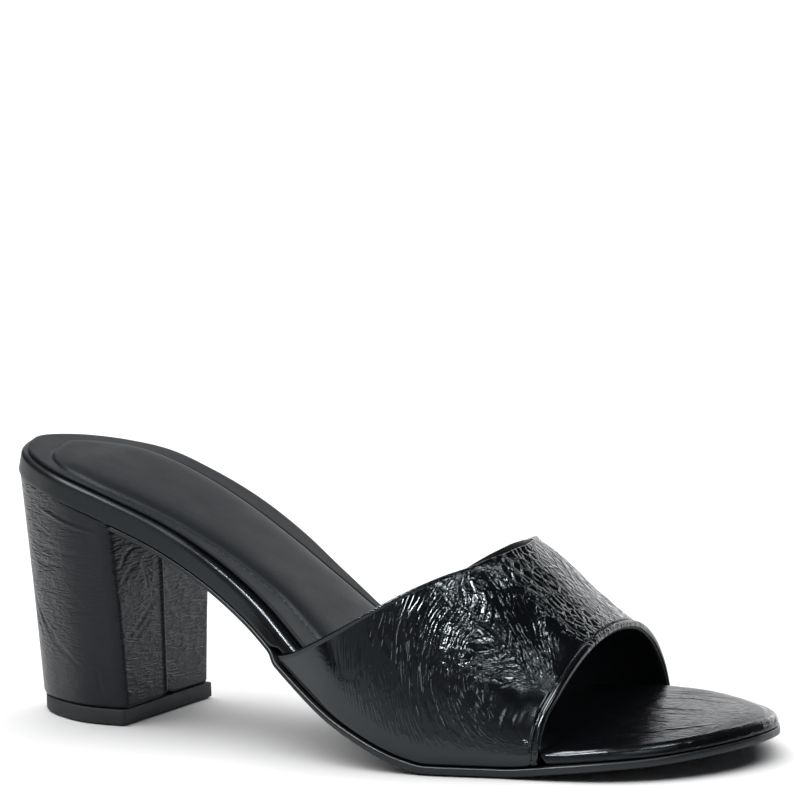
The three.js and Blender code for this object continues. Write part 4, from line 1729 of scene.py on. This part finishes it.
@dataclass(frozen=True)
class Softbox:
    """A light that shows only in gloss.

    Its way is its direction from the shoe. Its size is its width and height in degrees, as the shoe sees
    them. Its level is its brightness beside the floor's, and its turn is in degrees about its own middle.
    """

    name: str
    way: tuple[float, float]
    size: tuple[float, float]
    level: float
    turn: float = 0.0

    def hang(self, aim: Vector, reach: float) -> None:
        """Hang the light round the shoe.

        Args:
            aim: The place that it faces.
            reach: How far it is from there.
        """
        light = bpy.data.lights.new(self.name, "AREA")
        light.shape = "RECTANGLE"
        light.size, light.size_y = (2 * reach * math.tan(math.radians(side / 2)) for side in self.size)
        light.energy = self.level * math.pi * light.size * light.size_y
        lamp = linked(self.name, light)
        out = direction(*self.way)
        lamp.location = aim + out * reach
        turned = out.to_track_quat("Z", "Y") @ Quaternion((0, 0, 1), math.radians(self.turn))
        lamp.rotation_euler = turned.to_euler()
        lamp.visible_camera = False
        lamp.visible_diffuse = False


@dataclass(frozen=True)
class Studio:
    """Floor, lights and camera, in metres and degrees."""

    eye: tuple[float, float, float] = (0.51777, -0.85565, 0.21029)
    azimuth: float = 30.777
    elevation: float = 6.793
    roll: float = -1.683
    focal: float = 166.51
    sensor: float = 36.0
    sight: float = 200.0
    aim: tuple[float, float, float] = (0.03, 0.0, 0.03)
    reach: float = 1.5
    floor_size: float = 60.0
    floor_height: float = -0.0004
    sky_strength: float = 5.0
    sky_spread: float = 110.0
    sky_tilt: tuple[float, float, float] = (-14.0, -16.0, 0.0)
    room: Colour = (0.04, 0.043, 0.05)
    softboxes: tuple[Softbox, ...] = (
        Softbox("overhead", (108, 75), (10, 12), 4),
        Softbox("hot", (118, 66), (13, 4.5), 30),
        Softbox("core", (-156, 60), (24, 3), 125, 50),
        Softbox("key", (146, 38), (12, 14), 4),
        Softbox("front_right", (138, 30), (26, 26), 0.8),
        Softbox("left", (-99, 66), (20, 14), 24),
        Softbox("side", (31, 10), (24, 18), 3),
        Softbox("side_far", (8, 22), (40, 36), 2.2),
        Softbox("backdrop", (-31, 15), (47, 30), 1.1),
        Softbox("front_low", (-172, 8), (80, 16), 0.75),
        Softbox("front_middle", (-172, 25), (90, 18), 0.4),
        Softbox("front_high", (-172, 45), (90, 22), 0.17),
    )

    def floor(self) -> None:
        """Lay a floor that fills the view to the horizon."""
        mesh = bmesh.new()
        bmesh.ops.create_grid(mesh, x_segments=1, y_segments=1, size=self.floor_size)
        bmesh.ops.translate(mesh, verts=mesh.verts, vec=Vector((0, 0, self.floor_height)))
        floor = mesh_object("floor", mesh, Floor().material())

    def sky(self) -> None:
        """Light the floor evenly from above, without a mirror image in the patent."""
        light = bpy.data.lights.new("sky", "SUN")
        light.energy = self.sky_strength
        light.angle = math.radians(self.sky_spread)
        lamp = linked("sky", light)
        lamp.rotation_euler = [math.radians(tilt) for tilt in self.sky_tilt]
        lamp.visible_glossy = False

    def world(self) -> None:
        """Keep the room round the shoe dim."""
        world = bpy.data.worlds.new("room")
        world.use_nodes = True
        world.node_tree.nodes["Background"].inputs["Color"].default_value = (*self.room, 1)
        bpy.context.scene.world = world
        bpy.context.scene.view_settings.view_transform = "Standard"

    def camera(self) -> None:
        """Stand the camera where the photograph was taken from."""
        back = direction(180 - self.azimuth, self.elevation)
        right = direction(90 - self.azimuth, 0)
        roll = math.radians(self.roll)
        up = back.cross(right)
        turned_right = right * math.cos(roll) + up * math.sin(roll)
        turned_up = up * math.cos(roll) - right * math.sin(roll)
        lens = bpy.data.cameras.new("camera")
        lens.lens = self.focal
        lens.sensor_width = self.sensor
        lens.clip_end = self.sight
        camera = linked("camera", lens)
        matrix = Matrix((turned_right, turned_up, back)).transposed().to_4x4()
        matrix.translation = Vector(self.eye)
        camera.matrix_world = matrix
        bpy.context.scene.camera = camera

    def build(self) -> None:
        """Set up the studio."""
        self.world()
        self.floor()
        self.sky()
        for softbox in self.softboxes:
            softbox.hang(Vector(self.aim), self.reach)
        self.camera()


def main() -> None:
    """Dress the shoe piece by piece, light it and note its sizes."""
    logging.basicConfig(level=logging.INFO, format="%(name)s %(message)s")
    for sub_assembly in (Outsole(), Footbed(), Sock(), Upper(), Heel()):
        sub_assembly.dress()
    Studio().build()


if __name__ == "__main__":
    main()
